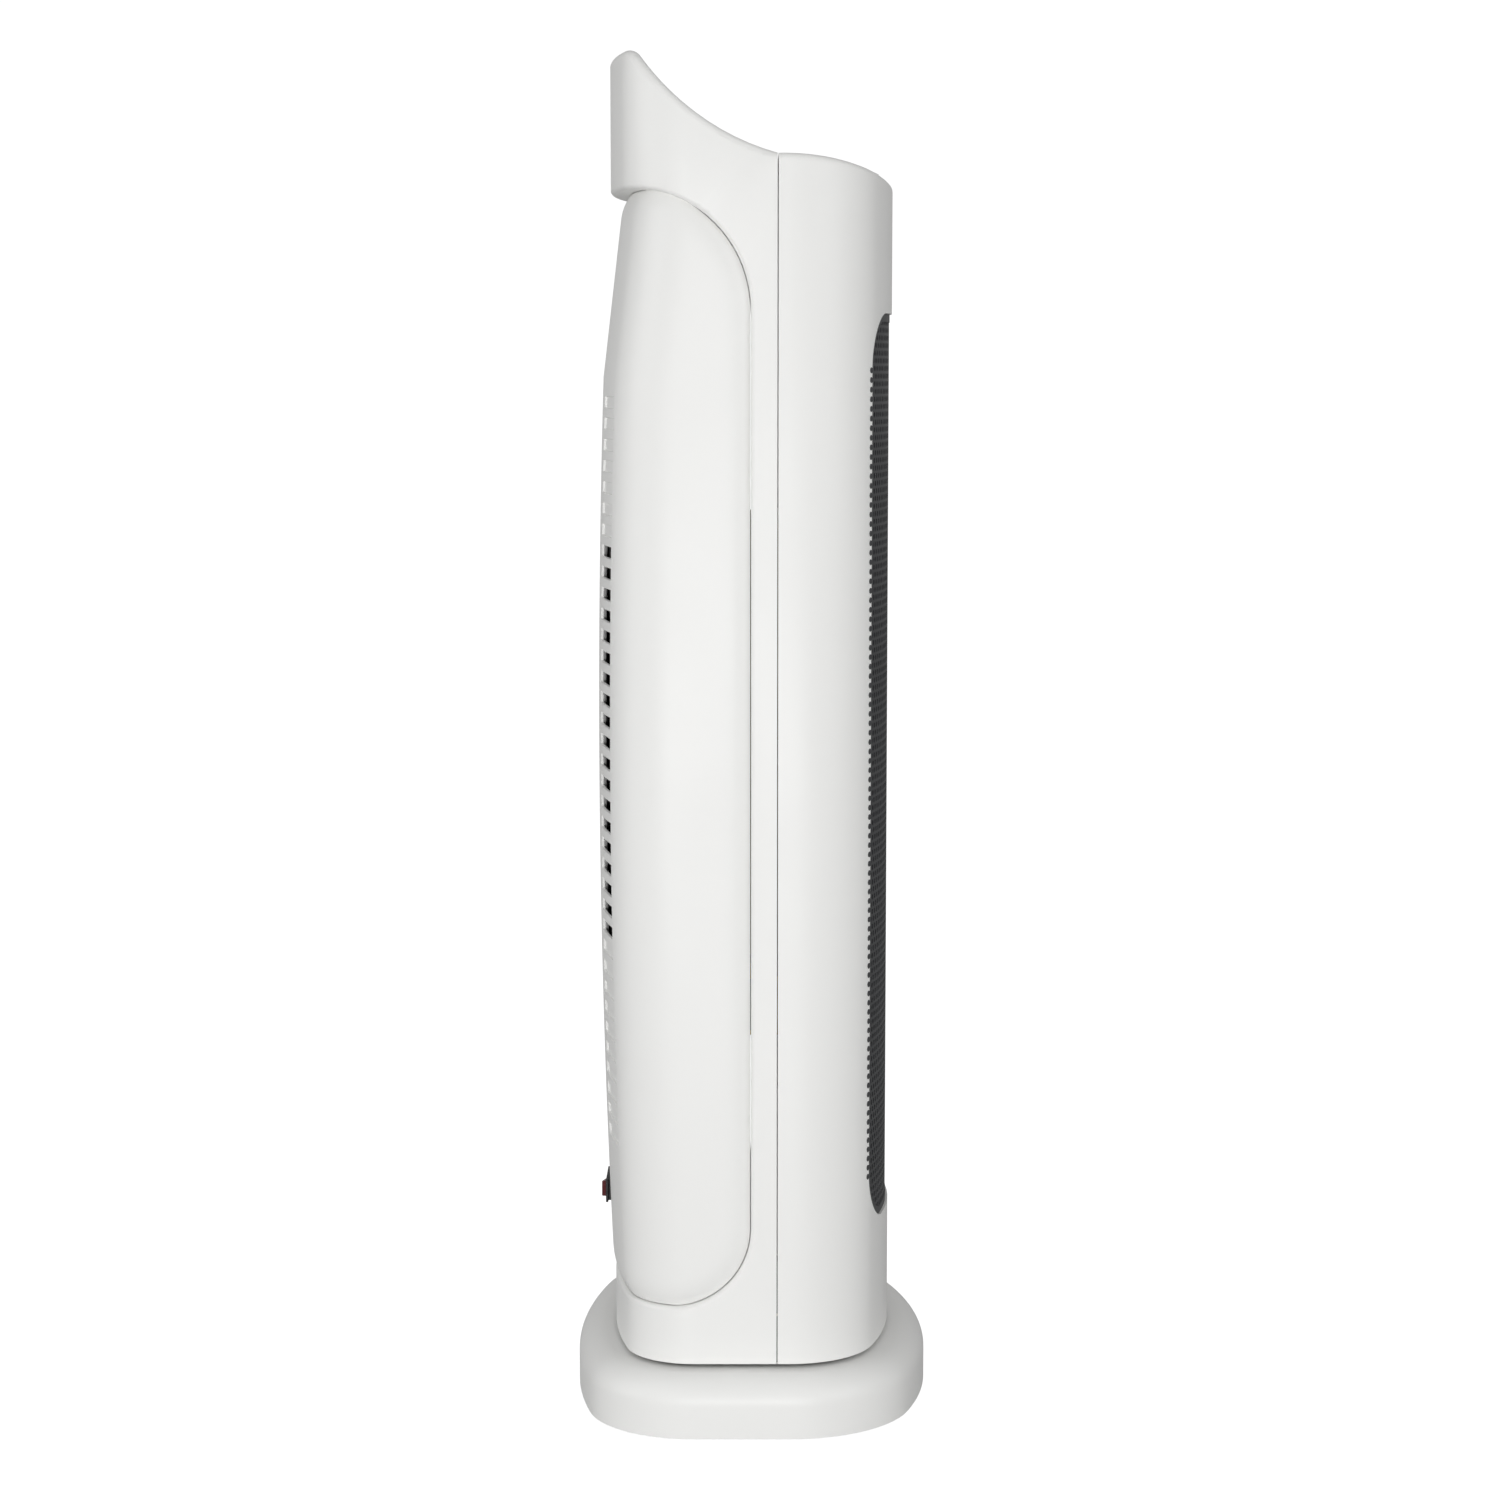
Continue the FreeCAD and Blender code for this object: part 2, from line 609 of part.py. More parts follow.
def make_base():
    form = base_form(0, "base_lift", "base_top", "base_shoulder")
    hollow = base_form(s.base_wall, "base_lift - 1", "base_top - base_roof",
                       "base_shoulder - base_wall")
    plate_top = "(base_lift + plate_thick)"
    posts = [rod("boss_radius", f"base_top - base_roof / 2 - {plate_top}", (x, y, plate_top))
             for x, y in base_posts()]
    holes = [rod("screw_shank + screw_gap", "plate_screw_long", (x, y, plate_top))
             for x, y in base_posts()]
    mouth = rod("hub_radius + run_gap", "2 * base_roof", ("0", "0", "base_top - 2 * base_roof"))
    gland_hole = rod("gland_radius + fit_gap / 3", "base_flare + 10",
                     ("gland_x", f"{GLAND_Y} - base_flare", "gland_z"), (X_AXIS, -90))
    shell = fuse(cut(form, hollow), common(form, fuse(*posts)))
    subpart("base_housing", cut(shell, mouth, gland_hole, *holes))

    plate = padded("XY_Plane", base_outline(s.base_wall + s.fit_gap), "plate_thick",
                   lift="base_lift")
    sinks = [rod("foot_radius", "foot_sink", (x, y, "base_lift")) for x, y in foot_places()]
    for x, y in base_posts():
        sinks.append(rod("screw_shank + screw_gap", "plate_thick", (x, y, "base_lift")))
        sinks.append(rod("screw_head + fit_gap", "screw_head_tall", (x, y, "base_lift")))
    sinks.append(rod("tip_pin + tip_pin_gap", "plate_thick", ("-tip_x", "0", "base_lift")))
    subpart("base_plate", cut(plate, *sinks))

    subpart("rubber_feet", group([rod("foot_radius", "base_lift + foot_sink", (x, y, "0"))
                                  for x, y in foot_places()]))
    subpart("base_screws", group([
        screw((x, y, "base_lift + screw_head_tall"), "plate_screw_long", (0, 0, 1))
        for x, y in base_posts()]))
    gland = fuse(
        rod("gland_radius", "gland_long",
            ("gland_x", f"{GLAND_Y} - gland_long + gland_proud", "gland_z"), (X_AXIS, -90)),
        rod("gland_flange", "gland_flange_thick",
            ("gland_x", f"{GLAND_Y} - base_wall - fit_gap - gland_set - gland_flange_thick",
             "gland_z"), (X_AXIS, -90)))
    bore = rod("gland_bore", "4 * gland_long",
               ("gland_x", f"{GLAND_Y} - 2 * gland_long", "gland_z"), (X_AXIS, -90))
    subpart("cord_gland", cut(gland, bore))


def screw(at, length, way, head="screw_head"):
    """Pan-head screw; at is under the head and way points along the shank."""
    turn = Rotation(Z_AXIS, Vector(*way))
    shank = document.addObject("Part::Cylinder", "shank")
    top = document.addObject("Part::Cylinder", "head")
    bind(shank, "Radius", "screw_shank")
    bind(shank, "Height", length)
    bind(top, "Radius", head)
    bind(top, "Height", "screw_head_tall")
    shank.Placement = Placement(Vector(), turn)
    top.Placement = Placement(Vector(), turn)
    for axis, text, step in zip("xyz", at, way):
        bind(shank, "Placement.Base." + axis, text)
        bind(top, "Placement.Base." + axis, f"{text} - ({step}) * screw_head_tall")
    return fuse(shank, top)


# ---------------------------------------------------------------- swivel drive

def gear_blank(teeth, foot, tall, at=("0", "0"), spin=0.0):
    """Involute gear of the shared module, standing on the given height."""
    wires = fcgear.FCWireBuilder()
    involute.CreateExternalGear(wires, s.gear_module, int(teeth), 20.0, True)
    outline = document.addObject("Part::Feature", "tooth_outline")
    outline.Shape = Part.Wire([piece.toShape() for piece in wires.wire])
    outline.Placement = Placement(Vector(), Rotation(Z_AXIS, spin))
    for axis, text in zip("xyz", (at[0], at[1], foot)):
        bind(outline, "Placement.Base." + axis, text)
    blank = document.addObject("Part::Extrusion", "gear")
    blank.Base = outline
    blank.DirMode = "Custom"
    blank.Dir = Z_AXIS
    blank.Solid = True
    bind(blank, "LengthFwd", tall)
    return blank


PINION_X = "(gear_module * (gear_teeth + pinion_teeth) / 2 + mesh_gap)"


def make_swivel():
    tall = "gear_head - gear_foot"
    gear = gear_blank(s.gear_teeth, "gear_foot", tall)
    seat = rod("hub_radius + screw_gap", tall, ("0", "0", "hub_foot"))
    bore = rod("hub_bore", "2 * gear_head", ("0", "0", "0"))
    holes, screws = [], []
    for turn in (45, 135, 225, 315):
        x = f"gear_screw_ring * cos({turn}deg)"
        y = f"gear_screw_ring * sin({turn}deg)"
        holes.append(rod("screw_shank + screw_gap", "gear_head", (x, y, "gear_foot")))
        screws.append(screw((x, y, "gear_foot"), "tower_floor - gear_foot - 1.5", (0, 0, 1),
                            head="hub_radius - gear_screw_ring - 0.4"))
    subpart("hub_gear", cut(gear, seat, bore, *holes))
    subpart("hub_gear_screws", group(screws))

    floor = padded("XY_Plane", tower_plan(-s.wall - s.fit_gap), "floor_thick",
                   lift="tower_floor")
    hub = rod("hub_radius", "tower_floor + 1 - hub_foot", ("0", "0", "hub_foot"))
    sinks, floor_screws = [], []
    for side in (1, -1):
        for y in ("-post_y", "post_y"):
            sinks.append(rod("screw_shank + screw_gap", "floor_thick",
                             (post_x(side), y, "tower_floor")))
            sinks.append(rod("screw_head + fit_gap", "screw_head_tall",
                             (post_x(side), y, "tower_floor")))
            floor_screws.append(screw((post_x(side), y, "tower_floor + screw_head_tall"),
                                      "plate_screw_long", (0, 0, 1)))
    pilot = [rod("screw_shank + screw_gap", "tower_floor", hole_at, None)
             for hole_at in [(f"gear_screw_ring * cos({turn}deg)",
                              f"gear_screw_ring * sin({turn}deg)", "0")
                             for turn in (45, 135, 225, 315)]]
    subpart("tower_bottom", cut(fuse(floor, hub), rod("hub_bore", "tower_floor + floor_thick",
                                                      ("0", "0", "0")), *sinks, *pilot))
    subpart("floor_screws", group(floor_screws))

    ring = cut(rod("ring_outer", "tower_floor - base_top - ring_gap", ("0", "0", "base_top")),
               rod("hub_radius + 1", "tower_floor", ("0", "0", "0")))
    subpart("wear_ring", ring)

    half_tooth = 180.0 / s.pinion_teeth
    pinion = gear_blank(s.pinion_teeth, "gear_foot", tall, at=(PINION_X, "0"),
                        spin=180.0 + half_tooth)
    shaft = rod("swing_shaft", "gear_foot - swing_can_top + swing_shaft_deep + 1",
                (PINION_X, "0", "swing_can_top - swing_shaft_deep"))
    subpart("swing_pinion", fuse(pinion, shaft))
    plate_top = "(base_lift + plate_thick)"
    can = rod("swing_can_radius", f"swing_can_top - ({plate_top})", (PINION_X, "0", plate_top))
    nose = rod("swing_nose", "swing_nose_tall + 1", (PINION_X, "0", "swing_can_top - 1"))
    ears = [box(("2 * swing_ear", "2 * swing_can_radius + 4 * swing_ear", "1.5"),
                (f"{PINION_X} - swing_ear", "-swing_can_radius - 2 * swing_ear", plate_top))]
    well = rod("swing_shaft + run_gap", "2 * swing_can_top",
               (PINION_X, "0", "swing_can_top - swing_shaft_deep - 0.5"))
    subpart("swing_motor", cut(fuse(can, nose, *ears), well))


def make_tip_switch():
    at = ("-tip_x", "0")
    plate_top = "(base_lift + plate_thick)"
    block = box(("tip_long", "tip_wide", f"tip_top - ({plate_top})"),
                ("-tip_x - tip_long / 2", "-tip_wide / 2", plate_top))
    cell = rod("tip_cell_radius", "tip_cell_head - tip_cell_foot", (*at, "tip_cell_foot"))
    mouth = rod("tip_pin + run_gap", "tip_cell_foot", (*at, "0"))
    subpart("tip_switch", cut(block, cell, mouth))
    pin = rod("tip_pin", "tip_pin_long", (*at, "0"))
    flange = rod("tip_flange", "tip_flange_thick", (*at, "tip_flange_foot"))
    subpart("tip_plunger", fuse(pin, flange))


# ---------------------------------------------------------------- decks and scroll

def deck(z):
    """Cross wall that fits the shells in front and narrows inside the rear cover."""
    wide = common(padded("XY_Plane", tower_plan(-s.wall - s.fit_gap), "deck_thick", lift=z),
                  cutting_block("-deck_front", "-recess_front - wall - fit_gap"))
    tail = box(("2 * deck_tail_half", "deck_tail + 5", "deck_thick"),
               ("-deck_tail_half", "-5", z))
    return fuse(wide, tail)


def curved_wall(centre, inner, outer, first, last):
    """Outline of a wall along an arc, angles in degrees."""
    a, b = math.radians(first), math.radians(last)
    ends = [centre + Vector(math.cos(t), math.sin(t), 0) * r
            for t in (a, b) for r in (inner, outer)]
    return [arc(centre, inner, a, b), line(ends[2], ends[3]),
            arc(centre, outer, a, b), line(ends[1], ends[0])]


def make_blower():
    foot = "deck_low + deck_thick"
    tall = f"deck_high - ({foot})"
    eye = "fan_hub + 2"
    holes = [rod("screw_shank + screw_gap", "2 * deck_thick",
                 (f"{side} * bolt_x", "fan_y", "deck_low - deck_thick / 2"))
             for side in (1, -1)]
    holes.append(rod(eye, "2 * deck_thick", ("0", "fan_y", "deck_low - deck_thick / 2")))
    subpart("lower_deck", cut(deck("deck_low"), *holes, *tab_slots()))
    cup = rod("bush_radius + 2", "bush_tall + 2", ("0", "fan_y", "deck_high"))
    bush_seat = rod("bush_radius", "bush_tall + deck_thick",
                    ("0", "fan_y", "deck_high + 1.5"))
    subpart("upper_deck", cut(fuse(deck("deck_high"), cup), bush_seat,
                              rod("shaft_radius + 1.5", "20", ("0", "fan_y", "deck_high - 1"))))
    subpart("shaft_bush", cut(rod("bush_radius - screw_gap", "bush_tall",
                                  ("0", "fan_y", "deck_high + 1.5")),
                              rod("shaft_radius + run_gap", "30",
                                  ("0", "fan_y", "deck_high"))))

    mid = Vector(s.scroll_x, s.fan_y - s.scroll_back, 0)
    outer = s.scroll_radius + s.scroll_wall
    back = padded("XY_Plane", curved_wall(mid, s.scroll_radius, outer, 0, s.scroll_open),
                  tall, lift=foot)
    lead = box(("scroll_wall", "fan_y - scroll_back + heater_back + 0.01", tall),
               ("scroll_x + scroll_radius", "-heater_back", foot))
    subpart("scroll_wall", fuse(back, lead))

    turn = math.radians(s.tongue_turn)
    reach = s.fan_radius + s.tongue_gap
    tip = Vector(math.cos(turn), math.sin(turn), 0) * reach + Vector(0, s.fan_y, 0)
    thick = s.scroll_wall
    outline = polygon([(-s.duct_half, -s.heater_back), (-s.duct_half, s.fan_y / 3),
                       (tip.x, tip.y), (tip.x - thick, tip.y + thick / 2),
                       (-s.duct_half - thick, s.fan_y / 3 + thick / 2),
                       (-s.duct_half - thick, -s.heater_back)])
    subpart("scroll_tongue", padded("XY_Plane", outline, tall, lift=foot))


def make_fan():
    """Cross-flow rotor: two discs joined by thin curved blades."""
    foot = "deck_low + deck_thick + fan_gap"
    length = "deck_high - deck_low - deck_thick - 2 * fan_gap"
    axis = Vector(0, s.fan_y, 0)
    body = document.addObject("PartDesign::Body", "rotor")
    pad_in(body, "XY_Plane", [Part.Circle(axis, Z_AXIS, s.fan_radius)], "fan_disc", lift=foot)
    blade_radius = s.blade_arc
    mid_radius = (s.fan_radius + s.blade_inner) / 2 - 2
    centre = axis + Vector(mid_radius, -blade_radius + 0.5, 0)
    blade = curved_wall(centre, blade_radius - s.blade_thick / 2,
                        blade_radius + s.blade_thick / 2, 90 - s.blade_lean,
                        90 + s.blade_lean / 2)
    blade = padded("XY_Plane", blade, length, lift=foot)
    document.recompute()
    blades = []
    for step in range(int(s.blade_count)):
        copy = document.addObject("Part::Feature", "blade")
        copy.Shape = blade.Shape.copy()
        copy.Placement = Placement(Vector(), Rotation(Z_AXIS, 360.0 * step / s.blade_count),
                                   axis)
        blades.append(copy)
    at = ("0", "fan_y")
    head = rod("fan_radius", "fan_disc", (*at, f"{foot} + {length} - fan_disc"))
    middle = cut(rod("fan_radius", "fan_disc", (*at, f"{foot} + ({length}) / 2")),
                 rod("blade_inner - 1", "tower_top", (*at, "0")))
    hubs = [rod("fan_hub", "fan_hub_tall", (*at, foot)),
            rod("fan_hub", "fan_hub_tall", (*at, f"{foot} + {length} - fan_hub_tall"))]
    bore = rod("shaft_radius + screw_gap", "tower_top", (*at, "0"))
    subpart("fan_rotor", cut(fuse(body, head, middle, *hubs, *blades), bore))
    subpart("fan_shaft", rod("shaft_radius", "shaft_top - shaft_foot", (*at, "shaft_foot")))


def make_fan_motor():
    at = ("0", "fan_y")
    stack = box(("2 * stack_half", "stack_deep", "stack_tall"),
                ("-stack_half", "fan_y + stack_half - stack_deep - 6", "stack_foot"))
    eye = rod("core_radius + core_gap", "2 * stack_tall", (*at, "stack_foot - 5"))
    front = "fan_y + stack_half - stack_deep - 6"
    window = box(("2 * coil_half", "stack_window", "2 * stack_tall"),
                 ("-coil_half", f"{front} + coil_long - 1", "stack_foot - 5"))
    bolts = [rod("screw_shank + screw_gap", "2 * stack_tall",
                 (f"{side} * bolt_x", "fan_y", "stack_foot - 5")) for side in (1, -1)]
    limb = box(("2 * coil_half", "coil_long - 1", "2 * stack_tall"),
               ("-coil_half", front, "stack_foot - 5"))
    tab = box(("2 * coil_half + 2", "coil_long - 3", "stack_tall"),
              ("-coil_half - 1", f"{front} + 1", "stack_foot"))
    stack = fuse(cut(stack, eye, window, limb, *bolts), tab)
    subpart("motor_stack", stack)
    coil = cut(box(("2 * coil_half - 2", "coil_long + 2 * coil_over - 3",
                    "stack_tall + 2 * coil_over"),
                   ("-coil_half + 1", f"{front} + 1 - coil_over", "stack_foot - coil_over")),
               box(("2 * coil_half + 9", "coil_long - 3 + 0.2", "stack_tall + 0.2"),
                   ("-coil_half - 4", f"{front} + 0.9", "stack_foot - 0.1")))
    subpart("motor_coil", coil)
    subpart("motor_core", cut(rod("core_radius", "stack_tall + 2", (*at, "stack_foot - 1")),
                              rod("shaft_radius + screw_gap", "tower_top", (*at, "0"))))
    for name, plate_foot, cup_foot in (
            ("motor_top_bridge", "stack_foot + stack_tall",
             "stack_foot + stack_tall + bridge_reach - 1"),
            ("motor_foot_bridge", "stack_foot - bridge_reach",
             "stack_foot - bridge_reach - 3")):
        leg = [box(("2 * bridge_thick + 4", "2 * bridge_half", "bridge_reach"),
                   (f"{side} * bolt_x - bridge_thick - 2", "fan_y - bridge_half", plate_foot))
               for side in (1, -1)]
        bar_foot = (f"{plate_foot} + bridge_reach - bridge_thick" if "top" in name
                    else plate_foot)
        bar = box(("2 * bolt_x", "2 * bridge_half", "bridge_thick"),
                  ("-bolt_x", "fan_y - bridge_half", bar_foot))
        cup = rod("bridge_cup", "4", (*at, cup_foot))
        holes = [rod("screw_shank + screw_gap", "tower_top", (f"{side} * bolt_x", "fan_y", "0"))
                 for side in (1, -1)]
        subpart(name, cut(fuse(bar, cup, *leg), *holes,
                          rod("shaft_radius + run_gap", "tower_top", (*at, "0"))))
    gap = "deck_low - (stack_foot + stack_tall + bridge_reach)"
    spacer = [cut(rod("5", gap, (f"{side} * bolt_x", "fan_y",
                                 "stack_foot + stack_tall + bridge_reach")),
                  rod("screw_shank + screw_gap", "tower_top", (f"{side} * bolt_x", "fan_y", "0")))
              for side in (1, -1)]
    subpart("motor_spacers", group(spacer))
    subpart("motor_bolts", group([
        screw((f"{side} * bolt_x", "fan_y", "stack_foot - bridge_reach"),
              "deck_low + deck_thick + 1 - (stack_foot - bridge_reach)", (0, 0, 1))
        for side in (1, -1)]))


# ---------------------------------------------------------------- heating element

HEATER_SPAN = "(2 * duct_half - 2 * heater_rim)"
BARS_Y = "(-(heater_front + heater_back + fit_gap) / 2 - bar_deep / 2)"


def bar_middle(number):
    """X of the middle of a ceramic bar, counted from the left."""
    return f"(-{HEATER_SPAN} / 2 + {number + 0.5} * {HEATER_SPAN} / bar_count)"


def tab_left(number):
    return f"{bar_middle(number)} + bar_wide / 2 + fit_gap"


def tab_slots():
    """Slots that let the terminal tabs through the element's frame and the lower deck."""
    return [box(("tab_thick + tab_slack", "tab_wide + tab_slack",
                 "4 * deck_thick + 2 * heater_rim"),
                (f"{tab_left(number)} - tab_slack / 2", f"{BARS_Y} + tab_set - tab_slack / 2",
                 "deck_low - deck_thick"))
            for number in range(int(s.bar_count))]


def make_heater():
    foot = "(deck_low + deck_thick + fit_gap)"
    tall = f"(deck_high - {foot} - fit_gap)"
    wide = "(2 * duct_half + 2 * scroll_wall)"
    frame = box((wide, "heater_front - heater_back - fit_gap", tall),
                ("-duct_half - scroll_wall", "-heater_front", foot))
    window = box((HEATER_SPAN, "2 * heater_front", f"{tall} - 2 * heater_rim"),
                 ("-duct_half + heater_rim", "-2 * heater_front", f"{foot} + heater_rim"))
    subpart("heater_frame", cut(frame, window, *tab_slots()))

    bar_tall = f"({tall} - 2 * heater_rim - 2 * fit_gap)"
    bar_foot = f"({foot} + heater_rim + fit_gap)"
    half_lane = (s.duct_half - s.heater_rim) / s.bar_count - s.bar_wide / 2
    height = s.deck_high - s.deck_low - s.deck_thick - 2 * s.fit_gap - 2 * s.heater_rim
    fins = int(height / s.fin_pitch)
    bars, sticks, tabs = [], [], []
    for number in range(int(s.bar_count)):
        middle = bar_middle(number)
        bars.append(box(("bar_wide", "bar_deep", bar_tall),
                        (f"{middle} - bar_wide / 2", BARS_Y, bar_foot)))
        tabs.append(box(("tab_thick", "tab_wide", "tab_long + heater_rim + fit_gap"),
                        (tab_left(number), f"{BARS_Y} + tab_set", f"{foot} - tab_long")))
        for side in (-1, 1):
            sticks.append(fin_pack(middle, side, half_lane - 0.2, bar_foot, fins, bar_tall))
    subpart("ceramic_bars", group(bars))
    subpart("heater_fins", group(sticks))
    subpart("terminal_tabs", group(tabs))

    middle_y = "-(heater_front + heater_back) / 2"
    can = rod("cutout_radius", "cutout_thick", ("0", middle_y, "deck_high + deck_thick"))
    lugs = box(("4 * cutout_radius", "4", "1"),
               ("-2 * cutout_radius", f"{middle_y} - 2", "deck_high + deck_thick"))
    subpart("thermal_cutout", fuse(can, lugs))

    duct = box((wide, "duct_front - heater_front - fit_gap", tall),
               ("-duct_half - scroll_wall", "-duct_front", foot))
    throat = box((f"{wide} - 2 * duct_wall", "2 * duct_front", f"{tall} - 2 * duct_wall"),
                 ("-duct_half - scroll_wall + duct_wall", "-2 * duct_front",
                  f"{foot} + duct_wall"))
    subpart("outlet_duct", cut(duct, throat))


def fin_pack(middle, side, width, bar_foot, fins, bar_tall):
    """Stack of thin fins on one thin strip, lying against a ceramic bar."""
    near = f"{middle} + {side} * (bar_wide / 2 + 0.1)"
    left = near if side > 0 else f"{near} - {width:.4f}"
    strip_left = near if side > 0 else f"{near} - fin_thick"
    pieces = [box(("fin_thick", "bar_deep", bar_tall), (strip_left, BARS_Y, bar_foot))]
    for level in range(fins):
        pieces.append(box((f"{width:.4f}", "bar_deep", "fin_thick"),
                          (left, BARS_Y, f"{bar_foot} + {level} * fin_pitch")))
    return fuse(*pieces)


# ---------------------------------------------------------------- controls

def dome_band(top_sink, foot_sink, half):
    """Curved plate that follows the dome, between two depths below it."""
    first = angle_to(DOME, Vector(-s.parting, dome_height(-s.parting), 0))
    front = -s.front_face
    last = angle_to(DOME, Vector(front, dome_height(front), 0))
    outer, inner = s.dome_arc - top_sink, s.dome_arc - foot_sink
    outline = curved_wall(DOME, inner, outer, math.degrees(first), math.degrees(last))
    return padded("YZ_Plane", outline, f"2 * {half}", both_ways=True)


def button_lean():
    """Tilt of the dome's normal at the buttons, in degrees from upright."""
    return math.degrees(math.asin((s.button_y - s.dome_crest) / s.dome_arc))


def on_dome(x, y, sink):
    """Point a given depth under the dome, along its normal."""
    lean = math.asin((y - s.dome_crest) / s.dome_arc)
    reach = s.dome_arc - sink
    return Vector(x, DOME.x - reach * math.sin(lean), DOME.y + reach * math.cos(lean))


def leaned_rod(radius, height, foot):
    """Cylinder that stands on a point along the buttons' axis."""
    item = document.addObject("Part::Cylinder", "rod")
    bind(item, "Radius", radius)
    bind(item, "Height", height)
    item.Placement = Placement(foot, Rotation(X_AXIS, button_lean()))
    return item


BUTTONS = ("power_button", "mode_button", "swing_button", "timer_button", "thermostat_button")


def button_x(number):
    return (number - (len(BUTTONS) - 1) / 2) * s.button_pitch


def make_controls():
    plate = common(dome_band(0, s.panel_thick, "panel_half"), panel_block(s.fit_gap))
    holes = []
    for number in range(len(BUTTONS)):
        foot = on_dome(button_x(number), s.button_y, s.panel_thick + 3)
        holes.append(leaned_rod("button_radius + button_gap", "panel_thick + 6", foot))
    window_outline = round_box(-s.window_half, s.window_half, -s.window_y - s.window_deep / 2,
                               -s.window_y + s.window_deep / 2, 2.0)
    window = common(padded("XY_Plane", window_outline, "dome_arc", lift="dome_top - dome_arc / 3"),
                    dome_band(0.2, s.window_thick, "panel_half"))
    seat_outline = round_box(-s.window_half - 0.2, s.window_half + 0.2,
                             -s.window_y - s.window_deep / 2 - 0.2,
                             -s.window_y + s.window_deep / 2 + 0.2, 2.2)
    seat = common(padded("XY_Plane", seat_outline, "dome_arc", lift="dome_top - dome_arc / 3"),
                  dome_band(-5, s.window_thick, "panel_half"))
    eye = box(("2 * display_half + 1", "display_deep + 1", "dome_arc / 2"),
              ("-display_half - 0.5", "-window_y - display_deep / 2 - 0.5",
               "dome_top - dome_arc / 3"))
    subpart("control_panel", cut(plate, seat, eye, *holes))
    subpart("display_window", window)

    travel = s.button_travel
    board_sink = s.board_drop
    tact_head = board_sink - s.tact_tall
    for number, name in enumerate(BUTTONS):
        x = button_x(number)
        cap = leaned_rod("button_radius", "panel_thick + button_proud",
                         on_dome(x, s.button_y, s.panel_thick))
        flange = leaned_rod("button_flange", "button_flange_thick",
                            on_dome(x, s.button_y, s.panel_thick + s.flange_drop
                                    + s.button_flange_thick))
        foot_sink = tact_head - s.fit_gap / 2 - travel
        stem = leaned_rod("button_stem", f"{foot_sink - s.panel_thick + 0.5:.4f}",
                          on_dome(x, s.button_y, foot_sink))
        document.recompute()
        cap = rounded(cap, 0.8, lambda edge: edge.BoundBox.ZMax > cap.Shape.BoundBox.ZMax - 0.01)
        subpart(name, fuse(cap, flange, stem))
    board = leaned_plate("board_half", s.board_deep, s.board_thick, board_sink)
    tacts = [leaned_block(button_x(n), s.button_y, s.tact_half, s.tact_half,
                          s.tact_tall - travel, board_sink) for n in range(len(BUTTONS))]
    subpart("control_board", board)
    subpart("tact_switches", group(tacts))
    subpart("display_module", leaned_block(0, s.window_y, s.display_half,
                                           s.display_deep / 2, s.display_tall, board_sink))


def leaned_block(x, y, half_x, half_y, tall, sink):
    """Block on the control board, square to the buttons' axis."""
    foot = on_dome(x, s.button_y, sink)
    turn = Rotation(X_AXIS, button_lean())
    shift = turn.multVec(Vector(-half_x, s.button_y - y - half_y, 0))
    item = document.addObject("Part::Box", "block")
    item.Length, item.Width, item.Height = 2 * half_x, 2 * half_y, tall
    item.Placement = Placement(foot + shift, turn)
    return item


def leaned_plate(half, deep, thick, sink):
    foot = on_dome(0, s.button_y, sink + thick)
    turn = Rotation(X_AXIS, button_lean())
    item = document.addObject("Part::Box", "board")
    bind(item, "Length", f"2 * {half}")
    item.Width, item.Height = deep, thick
    item.Placement = Placement(foot + turn.multVec(Vector(-s.board_half, -8, 0)), turn)
    return item


def make_rocker():
    """Rocker switch on the rear: a body with a bezel, and a paddle resting on one side."""
    face = cover_rear(s.rocker_z) + s.fit_gap
    bezel = box(("bezel_long", "bezel_proud", "bezel_tall"),
                ("-bezel_long / 2", face, "rocker_z - bezel_tall / 2"))
    case = box(("switch_long", "switch_deep + 0.5", "switch_tall"),
               ("-switch_long / 2", f"{face} + 0.5 - switch_deep",
                "rocker_z - switch_tall / 2"))
    well = box(("rocker_long + 2 * rocker_gap", "2 * rocker_deep", "rocker_tall + 2 * rocker_gap"),
               ("-rocker_long / 2 - rocker_gap", f"{face} - rocker_deep",
                "rocker_z - rocker_tall / 2 - rocker_gap"))
    subpart("rocker_body", cut(fuse(bezel, case), well))
    half = s.rocker_long / 2 - s.rocker_end
    rise = s.rocker_proud + s.rocker_pivot - s.rocker_valley
    dip = half * math.tan(math.radians(s.rocker_tilt))
    paddle = padded("XY_Plane", polygon([(-half, rise + dip), (0, rise), (half, rise + dip),
                                         (half - 1, -s.rocker_heel), (0, -s.rocker_belly),
                                         (-half + 1, -s.rocker_heel)]),
                    "rocker_tall", both_ways=True)
    paddle.Placement = Placement(Vector(), Rotation(Z_AXIS, -s.rocker_tilt))
    bind(paddle, "Placement.Base.y", f"{face} - rocker_pivot")
    bind(paddle, "Placement.Base.z", "rocker_z")
    subpart("main_rocker", paddle)


make_front_shell()
make_rear_shell()
make_rear_cover()
make_inlet_screen()
make_front_grille()
make_base()
make_swivel()
make_tip_switch()
make_blower()
make_fan()
make_fan_motor()
make_heater()
make_controls()
make_rocker()

document.recompute()
faults = [item.Label for item in document.Objects
          if "Invalid" in item.State or "Error" in item.State]
for name, item in SUBPARTS.items():
    if item.Shape.isNull() or not item.Shape.isValid():
        faults.append(name)
if faults:
    raise RuntimeError("failed: " + ", ".join(faults))

os.makedirs("parts", exist_ok=True)
for name, item in SUBPARTS.items():
    item.Shape.exportStep(f"parts/{name}.step")
    print(name, len(item.Shape.Solids), round(item.Shape.Volume), item.Shape.BoundBox)
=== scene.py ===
import json
import math

